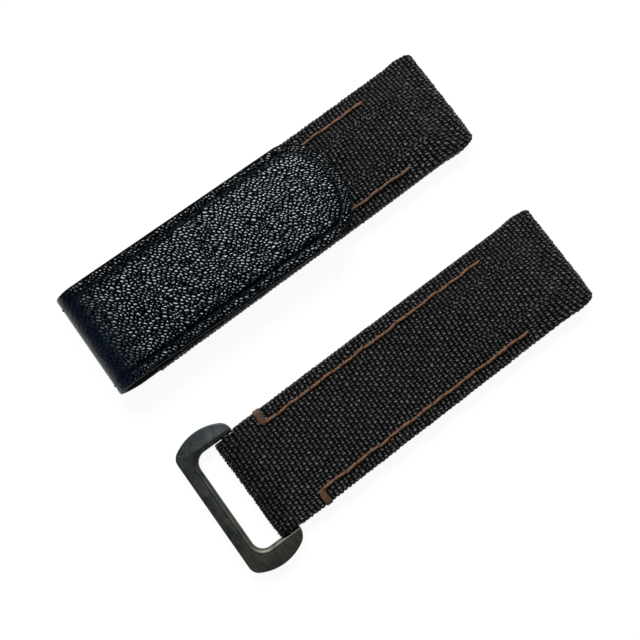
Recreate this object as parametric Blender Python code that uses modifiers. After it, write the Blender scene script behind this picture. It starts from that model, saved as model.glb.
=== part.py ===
"""Hook and loop watch strap in two halves, laid out as a pair.

+X runs along the straps towards their lug ends, +Y from the buckle half
towards the tongue half, +Z up. Each half is modelled from its own lug end,
with the strap running towards -X, and its empty puts it in its place.
"""
from math import atan2, copysign, cos, pi, radians, sin, sqrt

import bmesh
import bpy
from mathutils import Matrix, Vector

MM = 0.001

# Layers of the strap's body, from the sheets that it is sewn from
strap_width = 22.0 * MM
fabric_thickness = 0.55 * MM
leather_thickness = 1.0 * MM
tape_thickness = 0.7 * MM
clearance = 0.3 * MM
edge_radius = 0.7 * MM
lining_inset = 0.3 * MM
board_corner_radius = 1.5 * MM
board_bevel = 0.15 * MM
leather_bevel = 0.2 * MM

# Raised pad at each lug end
pad_height = 1.1 * MM
pad_length = 30.0 * MM
pad_front_ramp = 5.0 * MM
pad_back_ramp = 5.5 * MM
pad_front_half_width = 3.6 * MM
pad_back_half_width = 5.6 * MM
lug_return_length = 8.0 * MM
lug_flare = 0.6 * MM
lug_flare_ramp = 0.5 * MM

# Buckle half, measured from its lug end
buckle_length = 76.3 * MM
bar_setback = 2.4 * MM
loop_length = 5.2 * MM
loop_return_length = 14.3 * MM

# Metal ring
bar_diameter = 1.7 * MM
ring_thickness = 2.0 * MM
ring_width = 29.5 * MM
ring_end_radius = 9.3 * MM
ring_outer_reach = 10.1 * MM
ring_inner_reach = 1.7 * MM
ring_outer_bar_width = 2.95 * MM
ring_outer_corner_radius = 2.2 * MM
ring_inner_corner_radius = 2.5 * MM
slot_width = 21.4 * MM
slot_corner_radius = 2.35 * MM
ring_chamfer = 0.22 * MM
ring_shift = 0.1 * MM
ring_skew = radians(1.1)

# Tongue half, measured from its own lug end
tongue_body_length = 77.3 * MM
fold_setoff = 3.1 * MM
fold_reach = 3.7 * MM
fold_hinge_depth = 0.35 * MM
fold_strips = 6
flap_tip_setback = 27.4 * MM
flap_tip_length = 8.0 * MM
flap_shift = 0.2 * MM
flap_skew = radians(0.95)
tape_inset = 1.0 * MM
tape_fold_inset = 3.8 * MM
loop_tape_setback = 1.6 * MM

# Threads
seam_offset = 8.0 * MM
seam_thread = 0.5 * MM
seam_lug_setback = 15.0 * MM
seam_buckle_setback = 11.4 * MM
seam_tongue_setback = 3.6 * MM
tack_width = 1.35 * MM
tack_reach = 3.2 * MM
tack_thickness = 0.35 * MM
flap_seam_inset = 1.9 * MM
flap_seam_thread = 0.45 * MM
flap_groove_depth = 0.6 * MM
flap_groove_side = 0.2 * MM

# The pair as it lies
half_spacing = 38.91 * MM
tongue_lead = 0.6 * MM
cut_overrun = 1.0 * MM
weld_distance = 0.0005 * MM
smooth_angle = radians(35)
bevel_angle = radians(50)

# Facets
loop_steps = 8
edge_steps = 3
corner_steps = 6
bow_steps = 14
panel_columns = 12
body_rows = 6
pad_rows = 16
strip_steps = 3
tip_steps = 20
seam_steps = 24
thread_steps = 2

# Sizes that follow from the layers
body_height = bar_diameter + 2 * (clearance + fabric_thickness)
loop_radius = body_height / 2
panel_half_width = strap_width / 2 - edge_radius
board_bottom = leather_thickness + clearance
board_top = body_height - fabric_thickness - clearance
board_half_width = strap_width / 2 - fabric_thickness - clearance
bar_x = -(buckle_length - bar_setback)
tunnel_end = -(body_height - fabric_thickness)
insert_end = tunnel_end - clearance

# Middle of the arc that each end of the ring bows along
bow_x = (ring_inner_reach - ring_outer_reach) / 2
bow_y = ring_width / 2 - ring_end_radius

# Sizes that follow for the folded tongue
tongue_leather_width = strap_width - 2 * lining_inset
loop_tape_bottom = body_height + clearance
hook_tape_bottom = loop_tape_bottom + tape_thickness + clearance
flap_bottom = hook_tape_bottom + tape_thickness + clearance
flap_top = flap_bottom + leather_thickness
fold_x = -(tongue_body_length + fold_setoff)
fold_height = flap_top / 2
hinge_reach = fold_reach - fold_hinge_depth
hinge_rise = fold_height - fold_hinge_depth
flap_length = -flap_tip_setback - fold_x


def clear_scene():
    for item in list(bpy.data.objects):
        bpy.data.objects.remove(item, do_unlink=True)


def new_collection(name):
    collection = bpy.data.collections.new(name)
    bpy.context.scene.collection.children.link(collection)
    return collection


def new_material(name, colour, roughness, metallic=0.0):
    material = bpy.data.materials.new(name)
    material.use_nodes = True
    shader = material.node_tree.nodes["Principled BSDF"]
    shader.inputs["Base Color"].default_value = (*colour, 1.0)
    shader.inputs["Roughness"].default_value = roughness
    shader.inputs["Metallic"].default_value = metallic
    return material


def new_empty(name, collection, place, parent=None, turn=0.0):
    empty = bpy.data.objects.new(name, None)
    collection.objects.link(empty)
    empty.parent = parent
    empty.location = place
    empty.rotation_euler.z = turn
    return empty


def new_object(name, bm, collection, parent, material):
    """Puts a finished mesh into its collection, smooth but for its sharp edges."""
    mesh = bpy.data.meshes.new(name)
    bm.to_mesh(mesh)
    bm.free()
    mesh.shade_smooth()
    mesh.set_sharp_from_angle(angle=smooth_angle)
    item = bpy.data.objects.new(name, mesh)
    collection.objects.link(item)
    item.parent = parent
    if material:
        mesh.materials.append(material)
    return item


def spaced(first, last, steps):
    """Values from first to last in equal steps, without the first."""
    return [first + (last - first) * (step + 1) / steps for step in range(steps)]


def ramp(value, start, end):
    """Smooth rise from 0 at start to 1 at end."""
    share = min(max((value - start) / (end - start), 0.0), 1.0)
    return share * share * (3 - 2 * share)


def pad_rise(x, y):
    """How far the pad lifts the fabric above the flat body at this place."""
    front = ramp(x, -pad_length, -pad_length + pad_front_ramp)
    back = ramp(-x, -insert_end, -insert_end + pad_back_ramp)
    along = min(max((x + pad_length) / pad_length, 0.0), 1.0)
    crest = pad_front_half_width + (pad_back_half_width - pad_front_half_width) * along
    flank = ramp(panel_half_width - abs(y), 0.0, panel_half_width - crest)
    return pad_height * front * back * flank


def arc(centre, radius, first, last, steps):
    """Points along an arc, both ends included."""
    angles = [first, *spaced(first, last, steps)]
    return [(centre[0] + radius * cos(angle), centre[1] + radius * sin(angle)) for angle in angles]


def rounded_plate(low, high, radii, steps=corner_steps):
    """Outline of a rectangle whose corners are rounded by radii, at -X and at +X."""
    left, right = radii
    outline = arc((low[0] + left, low[1] + left), left, pi, 1.5 * pi, steps)
    outline += arc((high[0] - right, low[1] + right), right, 1.5 * pi, 2 * pi, steps)
    outline += arc((high[0] - right, high[1] - right), right, 0, 0.5 * pi, steps)
    outline += arc((low[0] + left, high[1] - left), left, 0.5 * pi, pi, steps)
    return outline


def plate_mesh(outline, bottom, top):
    """Closed flat plate: a filled 2D curve, extruded both ways, then a mesh."""
    curve = bpy.data.curves.new("outline", "CURVE")
    curve.dimensions = "2D"
    curve.fill_mode = "BOTH"
    curve.extrude = (top - bottom) / 2
    spline = curve.splines.new("POLY")
    spline.points.add(len(outline) - 1)
    spline.use_cyclic_u = True
    for point, (x, y) in zip(spline.points, outline):
        point.co = (x, y, 0, 1)
    return curve_mesh(curve, (bottom + top) / 2)


def thread_mesh(points, thickness):
    """Closed round thread along the points."""
    curve = bpy.data.curves.new("thread", "CURVE")
    curve.dimensions = "3D"
    curve.bevel_depth = thickness / 2
    curve.bevel_resolution = thread_steps
    curve.use_fill_caps = True
    spline = curve.splines.new("POLY")
    spline.points.add(len(points) - 1)
    for point, place in zip(spline.points, points):
        point.co = (*place, 1)
    return curve_mesh(curve, 0)


def curve_mesh(curve, height):
    """Turns a curve into a welded closed bmesh and removes the curve."""
    guide = bpy.data.objects.new("guide", curve)
    bpy.context.scene.collection.objects.link(guide)
    guide.location.z = height
    bpy.context.view_layer.update()
    evaluated = guide.evaluated_get(bpy.context.evaluated_depsgraph_get())
    mesh = bpy.data.meshes.new_from_object(evaluated)
    bm = bmesh.new()
    bm.from_mesh(mesh)
    bm.transform(guide.matrix_world)
    bmesh.ops.remove_doubles(bm, verts=bm.verts, dist=weld_distance)
    bmesh.ops.recalc_face_normals(bm, faces=bm.faces)
    bpy.data.objects.remove(guide)
    bpy.data.curves.remove(curve)
    bpy.data.meshes.remove(mesh)
    return bm


def add_bevel(item, width):
    bevel = item.modifiers.new("edges", "BEVEL")
    bevel.width = width
    bevel.limit_method = "ANGLE"
    bevel.angle_limit = bevel_angle


def add_boolean(item, other, operation):
    boolean = item.modifiers.new(operation.lower(), "BOOLEAN")
    boolean.operation = operation
    boolean.object = other
    boolean.solver = "EXACT"


def as_cutter(item):
    item.hide_render = True
    item.display_type = "WIRE"
    return item


def swept(bm, edges, shift):
    """Carries a row of edges along by shift and leaves cloth behind it."""
    made = bmesh.ops.extrude_edge_only(bm, edges=edges)["geom"]
    verts = [part for part in made if isinstance(part, bmesh.types.BMVert)]
    bmesh.ops.translate(bm, verts=verts, vec=Vector(shift))
    return [part for part in made if isinstance(part, bmesh.types.BMEdge) and len(part.link_faces) == 1
            and all(vert in verts for vert in part.verts)]


def turned(bm, edges, centre, axis, angle, steps):
    """Carries a row of edges round an axis and leaves rounded cloth behind it."""
    made = bmesh.ops.spin(bm, geom=edges, cent=Vector(centre), axis=Vector(axis), angle=angle, steps=steps,
                          use_merge=False, use_duplicate=False)["geom_last"]
    return [part for part in made if isinstance(part, bmesh.types.BMEdge)]


def thickened(item, thickness):
    solid = item.modifiers.new("sheet", "SOLIDIFY")
    solid.thickness = thickness
    solid.offset = -1
    solid.use_even_offset = True
    return item


def cloth_panel(bm, stations, height, half_width, columns):
    """Flat cloth from the first station to the last, and its two end rows of edges."""
    spots = [-half_width, *spaced(-half_width, half_width, columns)]
    verts = [bm.verts.new((stations[0], y, height)) for y in spots]
    first = [bm.edges.new(pair) for pair in zip(verts, verts[1:])]
    row = first
    for here, there in zip(stations, stations[1:]):
        row = swept(bm, row, (there - here, 0, 0))
    return first, row


def side_edges(bm, low, high, side, height):
    """Edges of the open long side between two stations."""

    def on_side(vert):
        x, y, z = vert.co
        at_side = abs(y - side) < weld_distance and abs(z - height) < weld_distance
        return at_side and low - weld_distance < x < high + weld_distance

    open_edges = [edge for edge in bm.edges if len(edge.link_faces) == 1]
    return [edge for edge in open_edges if all(on_side(vert) for vert in edge.verts)]


def fabric_cover(name, buckle_end, parent, collection, material):
    """Fabric of one half: a panel over the body, sides turned down, ends looped or turned down."""
    lug_axis = -loop_radius
    if buckle_end:
        far_axis = -(buckle_length - loop_radius)
        walls_start = -(buckle_length - loop_length)
        stations = [far_axis, walls_start]
    else:
        walls_start = -(tongue_body_length - edge_radius)
        stations = [walls_start]
    stations += spaced(walls_start, -pad_length, body_rows)
    stations += spaced(-pad_length, tunnel_end, pad_rows)
    stations += [tunnel_end + lug_flare_ramp, lug_axis]

    bm = bmesh.new()
    far_row, lug_row = cloth_panel(bm, stations, body_height, panel_half_width, panel_columns)
    for vert in bm.verts:
        vert.co.z += pad_rise(vert.co.x, vert.co.y)
        if vert.co.x > tunnel_end + lug_flare_ramp / 2:
            vert.co.y *= 1 + lug_flare / panel_half_width

    lug_row = turned(bm, lug_row, (lug_axis, 0, loop_radius), (0, 1, 0), pi, loop_steps)
    swept(bm, lug_row, (-(lug_return_length - loop_radius), 0, 0))
    if buckle_end:
        far_row = turned(bm, far_row, (far_axis, 0, loop_radius), (0, 1, 0), -pi, loop_steps)
        swept(bm, far_row, (loop_return_length - loop_radius, 0, 0))
    else:
        edge_centre = (walls_start, 0, body_height - edge_radius)
        far_row = turned(bm, far_row, edge_centre, (0, 1, 0), -pi / 2, edge_steps)
        swept(bm, far_row, (0, 0, board_bottom - body_height + edge_radius))

    for side in (-panel_half_width, panel_half_width):
        edges = side_edges(bm, walls_start, tunnel_end, side, body_height)
        quarter = pi / 2 if side < 0 else -pi / 2
        edges = turned(bm, edges, (0, side, body_height - edge_radius), (1, 0, 0), quarter, edge_steps)
        swept(bm, edges, (0, 0, board_bottom - body_height + edge_radius))

    bmesh.ops.recalc_face_normals(bm, faces=bm.faces)
    top_face = max(bm.faces, key=lambda face: face.calc_center_median().z)
    if top_face.normal.z < 0:
        bmesh.ops.reverse_faces(bm, faces=bm.faces)
    return thickened(new_object(name, bm, collection, parent, material), fabric_thickness)


def stiffener(name, start, parent, collection, material):
    """Board that keeps the body flat, between the end of the loop and the pad."""
    low = (start, -board_half_width)
    high = (-pad_length - clearance, board_half_width)
    bm = plate_mesh(rounded_plate(low, high, (board_corner_radius, board_corner_radius), edge_steps),
                    board_bottom, board_top)
    board = new_object(name, bm, collection, parent, material)
    add_bevel(board, board_bevel)
    return board


def lug_insert(name, parent, collection, material):
    """Pad under the fabric: flat below, raised above as the fabric shows it."""
    stations = [-pad_length, *spaced(-pad_length, insert_end, pad_rows)]
    bm = bmesh.new()
    cloth_panel(bm, stations, board_top, board_half_width, panel_columns)
    top = list(bm.faces)
    made = bmesh.ops.extrude_face_region(bm, geom=top)["geom"]
    raised = [part for part in made if isinstance(part, bmesh.types.BMVert)]
    for vert in bm.verts:
        vert.co.z = board_bottom
    for vert in raised:
        vert.co.z = board_top + pad_rise(vert.co.x, vert.co.y)
    bmesh.ops.recalc_face_normals(bm, faces=bm.faces)
    return new_object(name, bm, collection, parent, material)


def lining(name, start, parent, collection, material):
    """Leather under the body, from start to the fabric's return at the lug end."""
    half_width = strap_width / 2 - lining_inset
    end = -lug_return_length - clearance
    outline = rounded_plate((start, -half_width), (end, half_width), (edge_radius, edge_radius), edge_steps)
    bm = plate_mesh(outline, 0, leather_thickness)
    leather = new_object(name, bm, collection, parent, material)
    add_bevel(leather, leather_bevel)
    return leather


def seam_path(start, y):
    """Points along a stitch line that lies on the fabric and follows the pad."""
    level = body_height + clearance + seam_thread / 2
    spots = [start, *spaced(start, -seam_lug_setback, seam_steps)]
    return [(x, y, level + pad_rise(x, y)) for x in spots]


def stitch_lines(half, start, parent, collection, material):
    """The two brown stitch lines of one half."""
    for side, y in (("left", seam_offset), ("right", -seam_offset)):
        bm = thread_mesh(seam_path(start, y), seam_thread)
        new_object(f"{half}_seam_{side}", bm, collection, parent, material)


def bar_tack(name, direction, parent, collection, material):
    """Dense stitching across the edge of the strap, wrapped a little way down its side."""
    stand_off = clearance + tack_thickness
    centre_x = -(buckle_length - seam_buckle_setback) - tack_width / 2 - clearance - seam_thread / 2
    level = body_height + stand_off
    inner = strap_width / 2 - tack_reach
    bm = bmesh.new()
    verts = [bm.verts.new((centre_x + shift, inner, level)) for shift in (-tack_width / 2, tack_width / 2)]
    row = [bm.edges.new(verts)]
    row = swept(bm, row, (0, panel_half_width - inner, 0))
    centre = (centre_x, panel_half_width, body_height - edge_radius)
    row = turned(bm, row, centre, (1, 0, 0), -pi / 2, edge_steps)
    swept(bm, row, (0, 0, -edge_radius))
    if direction < 0:
        bmesh.ops.scale(bm, verts=bm.verts, vec=(1, -1, 1))
    bmesh.ops.recalc_face_normals(bm, faces=bm.faces)
    top_face = max(bm.faces, key=lambda face: face.calc_center_median().z)
    if top_face.normal.z < 0:
        bmesh.ops.reverse_faces(bm, faces=bm.faces)
    return thickened(new_object(name, bm, collection, parent, material), tack_thickness)


def ring_corner(side, radius):
    """Middle of a rounded corner of the ring at +Y, and the angle at which it meets the bowed end."""
    x = side - copysign(radius, side)
    y = bow_y + sqrt((ring_end_radius - radius) ** 2 - (x - bow_x) ** 2)
    return (x, y), atan2(y - bow_y, x - bow_x)


def ring_outline():
    """Outline of the ring, whose bars are straight and whose ends are bowed."""
    inner, inner_turn = ring_corner(ring_inner_reach, ring_inner_corner_radius)
    outer, outer_turn = ring_corner(-ring_outer_reach, ring_outer_corner_radius)
    end = arc(inner, ring_inner_corner_radius, 0, inner_turn, corner_steps)
    end += arc((bow_x, bow_y), ring_end_radius, inner_turn, outer_turn, bow_steps)[1:-1]
    end += arc(outer, ring_outer_corner_radius, outer_turn, pi, corner_steps)
    return end + [(x, -y) for x, y in reversed(end)]


def metal_ring(parent, collection, cutters, material):
    """Flat ring with bowed ends, whose inner bar is round where the fabric turns on it."""
    half_thickness = ring_thickness / 2
    bm = plate_mesh(ring_outline(), -half_thickness, half_thickness)
    ring = new_object("buckle_ring", bm, collection, parent, material)

    slot_low = -ring_outer_reach + ring_outer_bar_width
    slot_high = ring_inner_reach + cut_overrun
    slot = rounded_plate((slot_low, -slot_width / 2), (slot_high, slot_width / 2),
                         (slot_corner_radius, cut_overrun / 2))
    bm = plate_mesh(slot, -half_thickness - cut_overrun, half_thickness + cut_overrun)
    slot_cutter = as_cutter(new_object("slot_cutter", bm, cutters, parent, None))
    add_boolean(ring, slot_cutter, "DIFFERENCE")
    add_bevel(ring, ring_chamfer)

    bm = bmesh.new()
    length = slot_width + 2 * cut_overrun
    across = Matrix.Rotation(pi / 2, 4, "X")
    bmesh.ops.create_cone(bm, cap_ends=True, segments=4 * corner_steps, radius1=bar_diameter / 2,
                          radius2=bar_diameter / 2, depth=length, matrix=across)
    bar = as_cutter(new_object("bar_shape", bm, cutters, parent, None))
    add_boolean(ring, bar, "UNION")
    return ring


def fold_point(share):
    """Hinge line of the fold, from its empty: share 0 is at the lining, 1 at the flap."""
    angle = pi * share
    return Vector((-hinge_reach * sin(angle), 0, fold_height - hinge_rise * cos(angle)))


def fold_outward(share):
    """Direction from the hinge line to the leather's outer face."""
    angle = pi * share
    return Vector((-hinge_rise * sin(angle), 0, -hinge_reach * cos(angle))).normalized()


def fold_strip(index, fold_frame, collection, material):
    """One strip of the fold: a slice of leather carried round the hinge line."""
    first = index / fold_strips
    last = (index + 1) / fold_strips
    hinge = fold_point(first)
    trim = clearance / 2 / ((fold_point(last) - hinge).length * fold_strips)
    half_width = tongue_leather_width / 2
    bm = bmesh.new()
    slices = []
    for share in (first + trim, *spaced(first + trim, last - trim, strip_steps)):
        outer = fold_point(share) + fold_outward(share) * fold_hinge_depth - hinge
        inner = outer - fold_outward(share) * leather_thickness
        corners = [(outer, -half_width), (outer, half_width), (inner, half_width), (inner, -half_width)]
        slices.append([bm.verts.new((point.x, y, point.z)) for point, y in corners])
    for here, there in zip(slices, slices[1:]):
        sides = zip(here, here[1:] + here[:1], there[1:] + there[:1], there)
        for corners in sides:
            bm.faces.new(corners)
    bm.faces.new(slices[0])
    bm.faces.new(slices[-1])
    bmesh.ops.recalc_face_normals(bm, faces=bm.faces)
    pivot = new_empty(f"fold_hinge_{index + 1}", collection, hinge, fold_frame)
    return new_object(f"tongue_fold_{index + 1}", bm, collection, pivot, material)


def tongue_line(start, tip, half_width, tip_length):
    """Line along one side of a strip, round its elliptical tip at +X, and back along the other."""
    line = [(start, -half_width)]
    for angle in (-pi / 2, *spaced(-pi / 2, pi / 2, tip_steps)):
        line.append((tip - tip_length + tip_length * cos(angle), half_width * sin(angle)))
    line.append((start, half_width))
    return line


def flap_line(start, inset):
    """Line inside the flap's outline, at the same distance from it all the way."""
    half_width = tongue_leather_width / 2 - inset
    return tongue_line(start, flap_length - inset, half_width, flap_tip_length - inset)


def leather_flap(pivot, collection, cutters, material):
    """Leather tongue on top, with a groove for its stitch line."""
    top = fold_hinge_depth
    bm = plate_mesh(flap_line(clearance / 2, 0), top - leather_thickness, top)
    item = new_object("flap_leather", bm, collection, pivot, material)
    add_bevel(item, leather_bevel)
    half_groove = flap_seam_thread / 2 + flap_groove_side
    outer = flap_line(-cut_overrun, flap_seam_inset - half_groove)
    inner = flap_line(-cut_overrun, flap_seam_inset + half_groove)
    bm = plate_mesh(outer + inner[::-1], top - flap_groove_depth, top + cut_overrun)
    groove = as_cutter(new_object("groove_cutter", bm, cutters, pivot, None))
    add_boolean(item, groove, "DIFFERENCE")
    return item


def flap_seam(pivot, collection, material):
    """Thread that lies in the flap's groove."""
    level = fold_hinge_depth - flap_groove_depth + flap_groove_side + flap_seam_thread / 2
    path = [(x, y, level) for x, y in flap_line(clearance, flap_seam_inset)]
    bm = thread_mesh(path, flap_seam_thread)
    return new_object("flap_seam", bm, collection, pivot, material)


def hook_tape(pivot, collection, material):
    """Hooked tape under the flap, sewn on by the flap's stitch line."""
    top = fold_hinge_depth - leather_thickness - clearance
    bm = plate_mesh(flap_line(tape_fold_inset, tape_inset), top - tape_thickness, top)
    return new_object("hook_tape", bm, collection, pivot, material)


def loop_tape(parent, collection, material):
    """Soft tape on the fabric between the stitch lines, from the body's end to the pad."""
    start = -tongue_body_length + loop_tape_setback
    tip = -pad_length - clearance
    half_width = seam_offset - seam_thread / 2 - clearance
    bm = plate_mesh(tongue_line(start, tip, half_width, flap_tip_length),
                    loop_tape_bottom, loop_tape_bottom + tape_thickness)
    return new_object("loop_tape", bm, collection, parent, material)


def pair_places():
    """Where the two halves stand, so that the pair is centred on the origin."""
    (corner_x, corner_y), _ = ring_corner(-ring_outer_reach, ring_outer_corner_radius)
    low_x = bar_x + corner_x * cos(ring_skew) - corner_y * sin(ring_skew) - ring_outer_corner_radius
    low_y = -ring_shift - bow_x * sin(ring_skew) - bow_y * cos(ring_skew) - ring_end_radius
    high_y = half_spacing + strap_width / 2
    buckle = Vector((-(low_x + tongue_lead) / 2, -(low_y + high_y) / 2, 0))
    return buckle, buckle + Vector((tongue_lead, half_spacing, 0))


def build_buckle_half(place, collection, cutters, fabric, board, leather, brown, metal):
    half = new_empty("buckle_half", collection, place)
    fabric_cover("buckle_cover", True, half, collection, fabric)
    stiffener("buckle_core", -(buckle_length - loop_length), half, collection, board)
    lug_insert("buckle_lug_insert", half, collection, board)
    lining("buckle_lining", -(buckle_length - loop_return_length) + clearance, half, collection, leather)
    stitch_lines("buckle", -(buckle_length - seam_buckle_setback), half, collection, brown)
    bar_tack("buckle_tack_left", 1, half, collection, brown)
    bar_tack("buckle_tack_right", -1, half, collection, brown)
    swivel = new_empty("ring_swivel", collection, (bar_x, -ring_shift, loop_radius), half, -ring_skew)
    metal_ring(swivel, collection, cutters, metal)


def build_tongue_half(place, collection, cutters, fabric, board, leather, brown, black, tape):
    half = new_empty("tongue_half", collection, place)
    fabric_cover("tongue_cover", False, half, collection, fabric)
    stiffener("tongue_core", -(tongue_body_length - fabric_thickness - clearance), half, collection, board)
    lug_insert("tongue_lug_insert", half, collection, board)
    lining("tongue_lining", fold_x + clearance / 2, half, collection, leather)
    stitch_lines("tongue", -(tongue_body_length - seam_tongue_setback), half, collection, brown)
    loop_tape(half, collection, tape)

    fold_frame = new_empty("fold_frame", collection, (fold_x, flap_shift, 0), half, -flap_skew / 2)
    for index in range(fold_strips):
        fold_strip(index, fold_frame, collection, leather)
    pivot = new_empty("flap_hinge", collection, fold_point(1), fold_frame, -flap_skew / 2)
    leather_flap(pivot, collection, cutters, leather)
    flap_seam(pivot, collection, black)
    hook_tape(pivot, collection, tape)


def main():
    clear_scene()
    collection = new_collection("hook_and_loop_watch_strap")
    cutters = new_collection("cutters")
    fabric = new_material("woven_fabric", (0.012, 0.012, 0.013), 0.75)
    board = new_material("stiffener_board", (0.16, 0.15, 0.14), 0.8)
    leather = new_material("black_leather", (0.006, 0.009, 0.014), 0.42)
    brown = new_material("brown_thread", (0.13, 0.06, 0.035), 0.6)
    black = new_material("black_thread", (0.01, 0.01, 0.012), 0.55)
    tape = new_material("fastener_tape", (0.02, 0.02, 0.022), 0.9)
    metal = new_material("coated_metal", (0.035, 0.042, 0.045), 0.4, 1.0)
    buckle_place, tongue_place = pair_places()
    build_buckle_half(buckle_place, collection, cutters, fabric, board, leather, brown, metal)
    build_tongue_half(tongue_place, collection, cutters, fabric, board, leather, brown, black, tape)


main()
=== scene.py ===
"""Dresses the hook and loop watch strap: woven covers, folded leather tongue, stitching, ring and studio."""

from functools import partial
from math import atan2, ceil, cos, pi, radians, sin, sqrt

import bmesh
import bpy
import numpy as np
from bpy.props import FloatProperty, FloatVectorProperty, PointerProperty
from mathutils import Matrix, Vector


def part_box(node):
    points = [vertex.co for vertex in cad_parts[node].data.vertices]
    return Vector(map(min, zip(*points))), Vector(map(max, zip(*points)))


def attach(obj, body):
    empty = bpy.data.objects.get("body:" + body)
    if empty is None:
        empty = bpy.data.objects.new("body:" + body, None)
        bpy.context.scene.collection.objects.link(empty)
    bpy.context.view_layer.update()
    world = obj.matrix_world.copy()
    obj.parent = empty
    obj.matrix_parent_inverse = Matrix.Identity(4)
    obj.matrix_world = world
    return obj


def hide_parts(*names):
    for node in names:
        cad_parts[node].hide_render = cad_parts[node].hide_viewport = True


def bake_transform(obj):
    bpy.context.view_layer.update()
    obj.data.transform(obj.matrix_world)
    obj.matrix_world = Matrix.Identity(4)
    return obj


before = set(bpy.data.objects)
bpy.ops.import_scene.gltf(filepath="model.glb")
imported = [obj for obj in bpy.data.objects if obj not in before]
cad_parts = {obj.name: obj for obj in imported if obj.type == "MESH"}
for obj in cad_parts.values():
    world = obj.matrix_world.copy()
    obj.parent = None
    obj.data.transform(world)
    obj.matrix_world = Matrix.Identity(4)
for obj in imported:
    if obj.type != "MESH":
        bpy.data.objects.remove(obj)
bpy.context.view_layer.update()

bl_info = {
    "name": "Hook and Loop Watch Strap",
    "version": (1, 0, 0),
    "blender": (4, 5, 0),
    "location": "3D View > Sidebar > Watch Strap",
    "description": "Builds a woven and leather watch strap on its CAD frame",
    "category": "Object",
}

MM = 0.001

# Layers, as the frame has them
STRAP_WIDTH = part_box("tongue_cover")[1].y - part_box("tongue_cover")[0].y
BODY_HEIGHT = 3.4 * MM
CLOTH_THICKNESS = 0.5 * MM
LEATHER_THICKNESS = 1.0 * MM
CLEARANCE = 0.3 * MM
LOOP_RADIUS = BODY_HEIGHT / 2
EDGE_RADIUS = 0.7 * MM
WALL_FOOT = 1.02 * MM
FULL_WALL = BODY_HEIGHT - EDGE_RADIUS - WALL_FOOT

# Raised pad at each lug end
PAD_HEIGHT = 1.1 * MM
PAD_LENGTH = 30.0 * MM
PAD_FRONT_RAMP = 5.0 * MM
PAD_BACK_START = 3.15 * MM
PAD_BACK_RAMP = 5.5 * MM
PAD_FRONT_HALF_WIDTH = 3.6 * MM
PAD_BACK_HALF_WIDTH = 5.6 * MM
PANEL_HALF_WIDTH = STRAP_WIDTH / 2 - EDGE_RADIUS

# Halves, each measured from its own lug end
BUCKLE_LENGTH = 76.3 * MM
TONGUE_LENGTH = 77.3 * MM
LUG_RETURN = 8.0 * MM
BUCKLE_RETURN = 14.3 * MM
BAR_SETBACK = 2.4 * MM

# Folded tongue
LEATHER_HALF_WIDTH = STRAP_WIDTH / 2 - CLEARANCE
FOLD_X = -(TONGUE_LENGTH + 3.1 * MM)
FLAP_TOP = 6.7 * MM
HINGE_DEPTH = 0.35 * MM
HINGE_REACH = 3.7 * MM - HINGE_DEPTH
HINGE_RISE = FLAP_TOP / 2 - HINGE_DEPTH
FOLD_STRIPS = 6
FOLD_TRAVEL = 11.05 * MM
FLAP_LENGTH = -27.0 * MM - FOLD_X
FLAP_TIP = 8.0 * MM
TIP_START = FLAP_LENGTH - FLAP_TIP
FLAP_SHIFT = 0.2 * MM
FLAP_SKEW = radians(0.95)
SEAM_INSET = 1.9 * MM
BAND_OVERLAP = 1.0 * MM
LINING_REACH = 0.25 * MM

# Ring, measured from the axis of its inner bar
RING_THICKNESS = 2.0 * MM
BAR_DIAMETER = 1.7 * MM
RING_REACH = 10.1 * MM
RING_INNER_REACH = 1.7 * MM
RING_WIDTH = 29.5 * MM
RING_END_RADIUS = 9.3 * MM
RING_OUTER_CORNER = 2.2 * MM
RING_INNER_CORNER = 2.5 * MM
RING_BEVEL = 0.24 * MM
RING_BAR_WIDTH = 2.95 * MM
SLOT_WIDTH = 21.4 * MM
SLOT_CORNER = 2.35 * MM
SLOT_BEVEL = 0.7 * MM
RING_SHIFT = 0.1 * MM
RING_SKEW = radians(1.1)

# Photograph's camera, fitted to the outline of both halves
CAMERA_PLACE = Vector((-17.30, -7.76, 136.12)) * MM
CAMERA_LOOK = Vector((0.0969, 0.0567, -0.9937))
CAMERA_UP = Vector((0.5941, 0.7977, 0.1035))
CAMERA_LENS = 39.375
CAMERA_SHIFT = (-0.0005, 0.0008)


def half_place(cover):
    """Middle of a half's lug end, on the surface that it lies on."""
    low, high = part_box(cover)
    return np.array((high.x, (low.y + high.y) / 2, 0.0))


BUCKLE_PLACE = half_place("buckle_cover")
TONGUE_PLACE = half_place("tongue_cover")
BAR_PLACE = Vector(BUCKLE_PLACE) - Vector((BUCKLE_LENGTH - BAR_SETBACK, RING_SHIFT, 0))


def linear(hex_colour):
    """Turns an sRGB hex colour to Blender's linear one."""
    shares = [int(hex_colour[i:i + 2], 16) / 255 for i in (1, 3, 5)]
    return tuple(s / 12.92 if s <= 0.04045 else ((s + 0.055) / 1.055) ** 2.4 for s in shares)


def strength(name, description, default, unit="NONE"):
    return FloatProperty(name=name, description=description, default=default, min=0.0, unit=unit)


def length(name, description, default):
    return strength(name, description, default, unit="LENGTH")


def colour(name, description, hex_colour):
    return FloatVectorProperty(name=name, description=description, default=linear(hex_colour),
                               subtype="COLOR", min=0.0, max=1.0)


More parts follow.
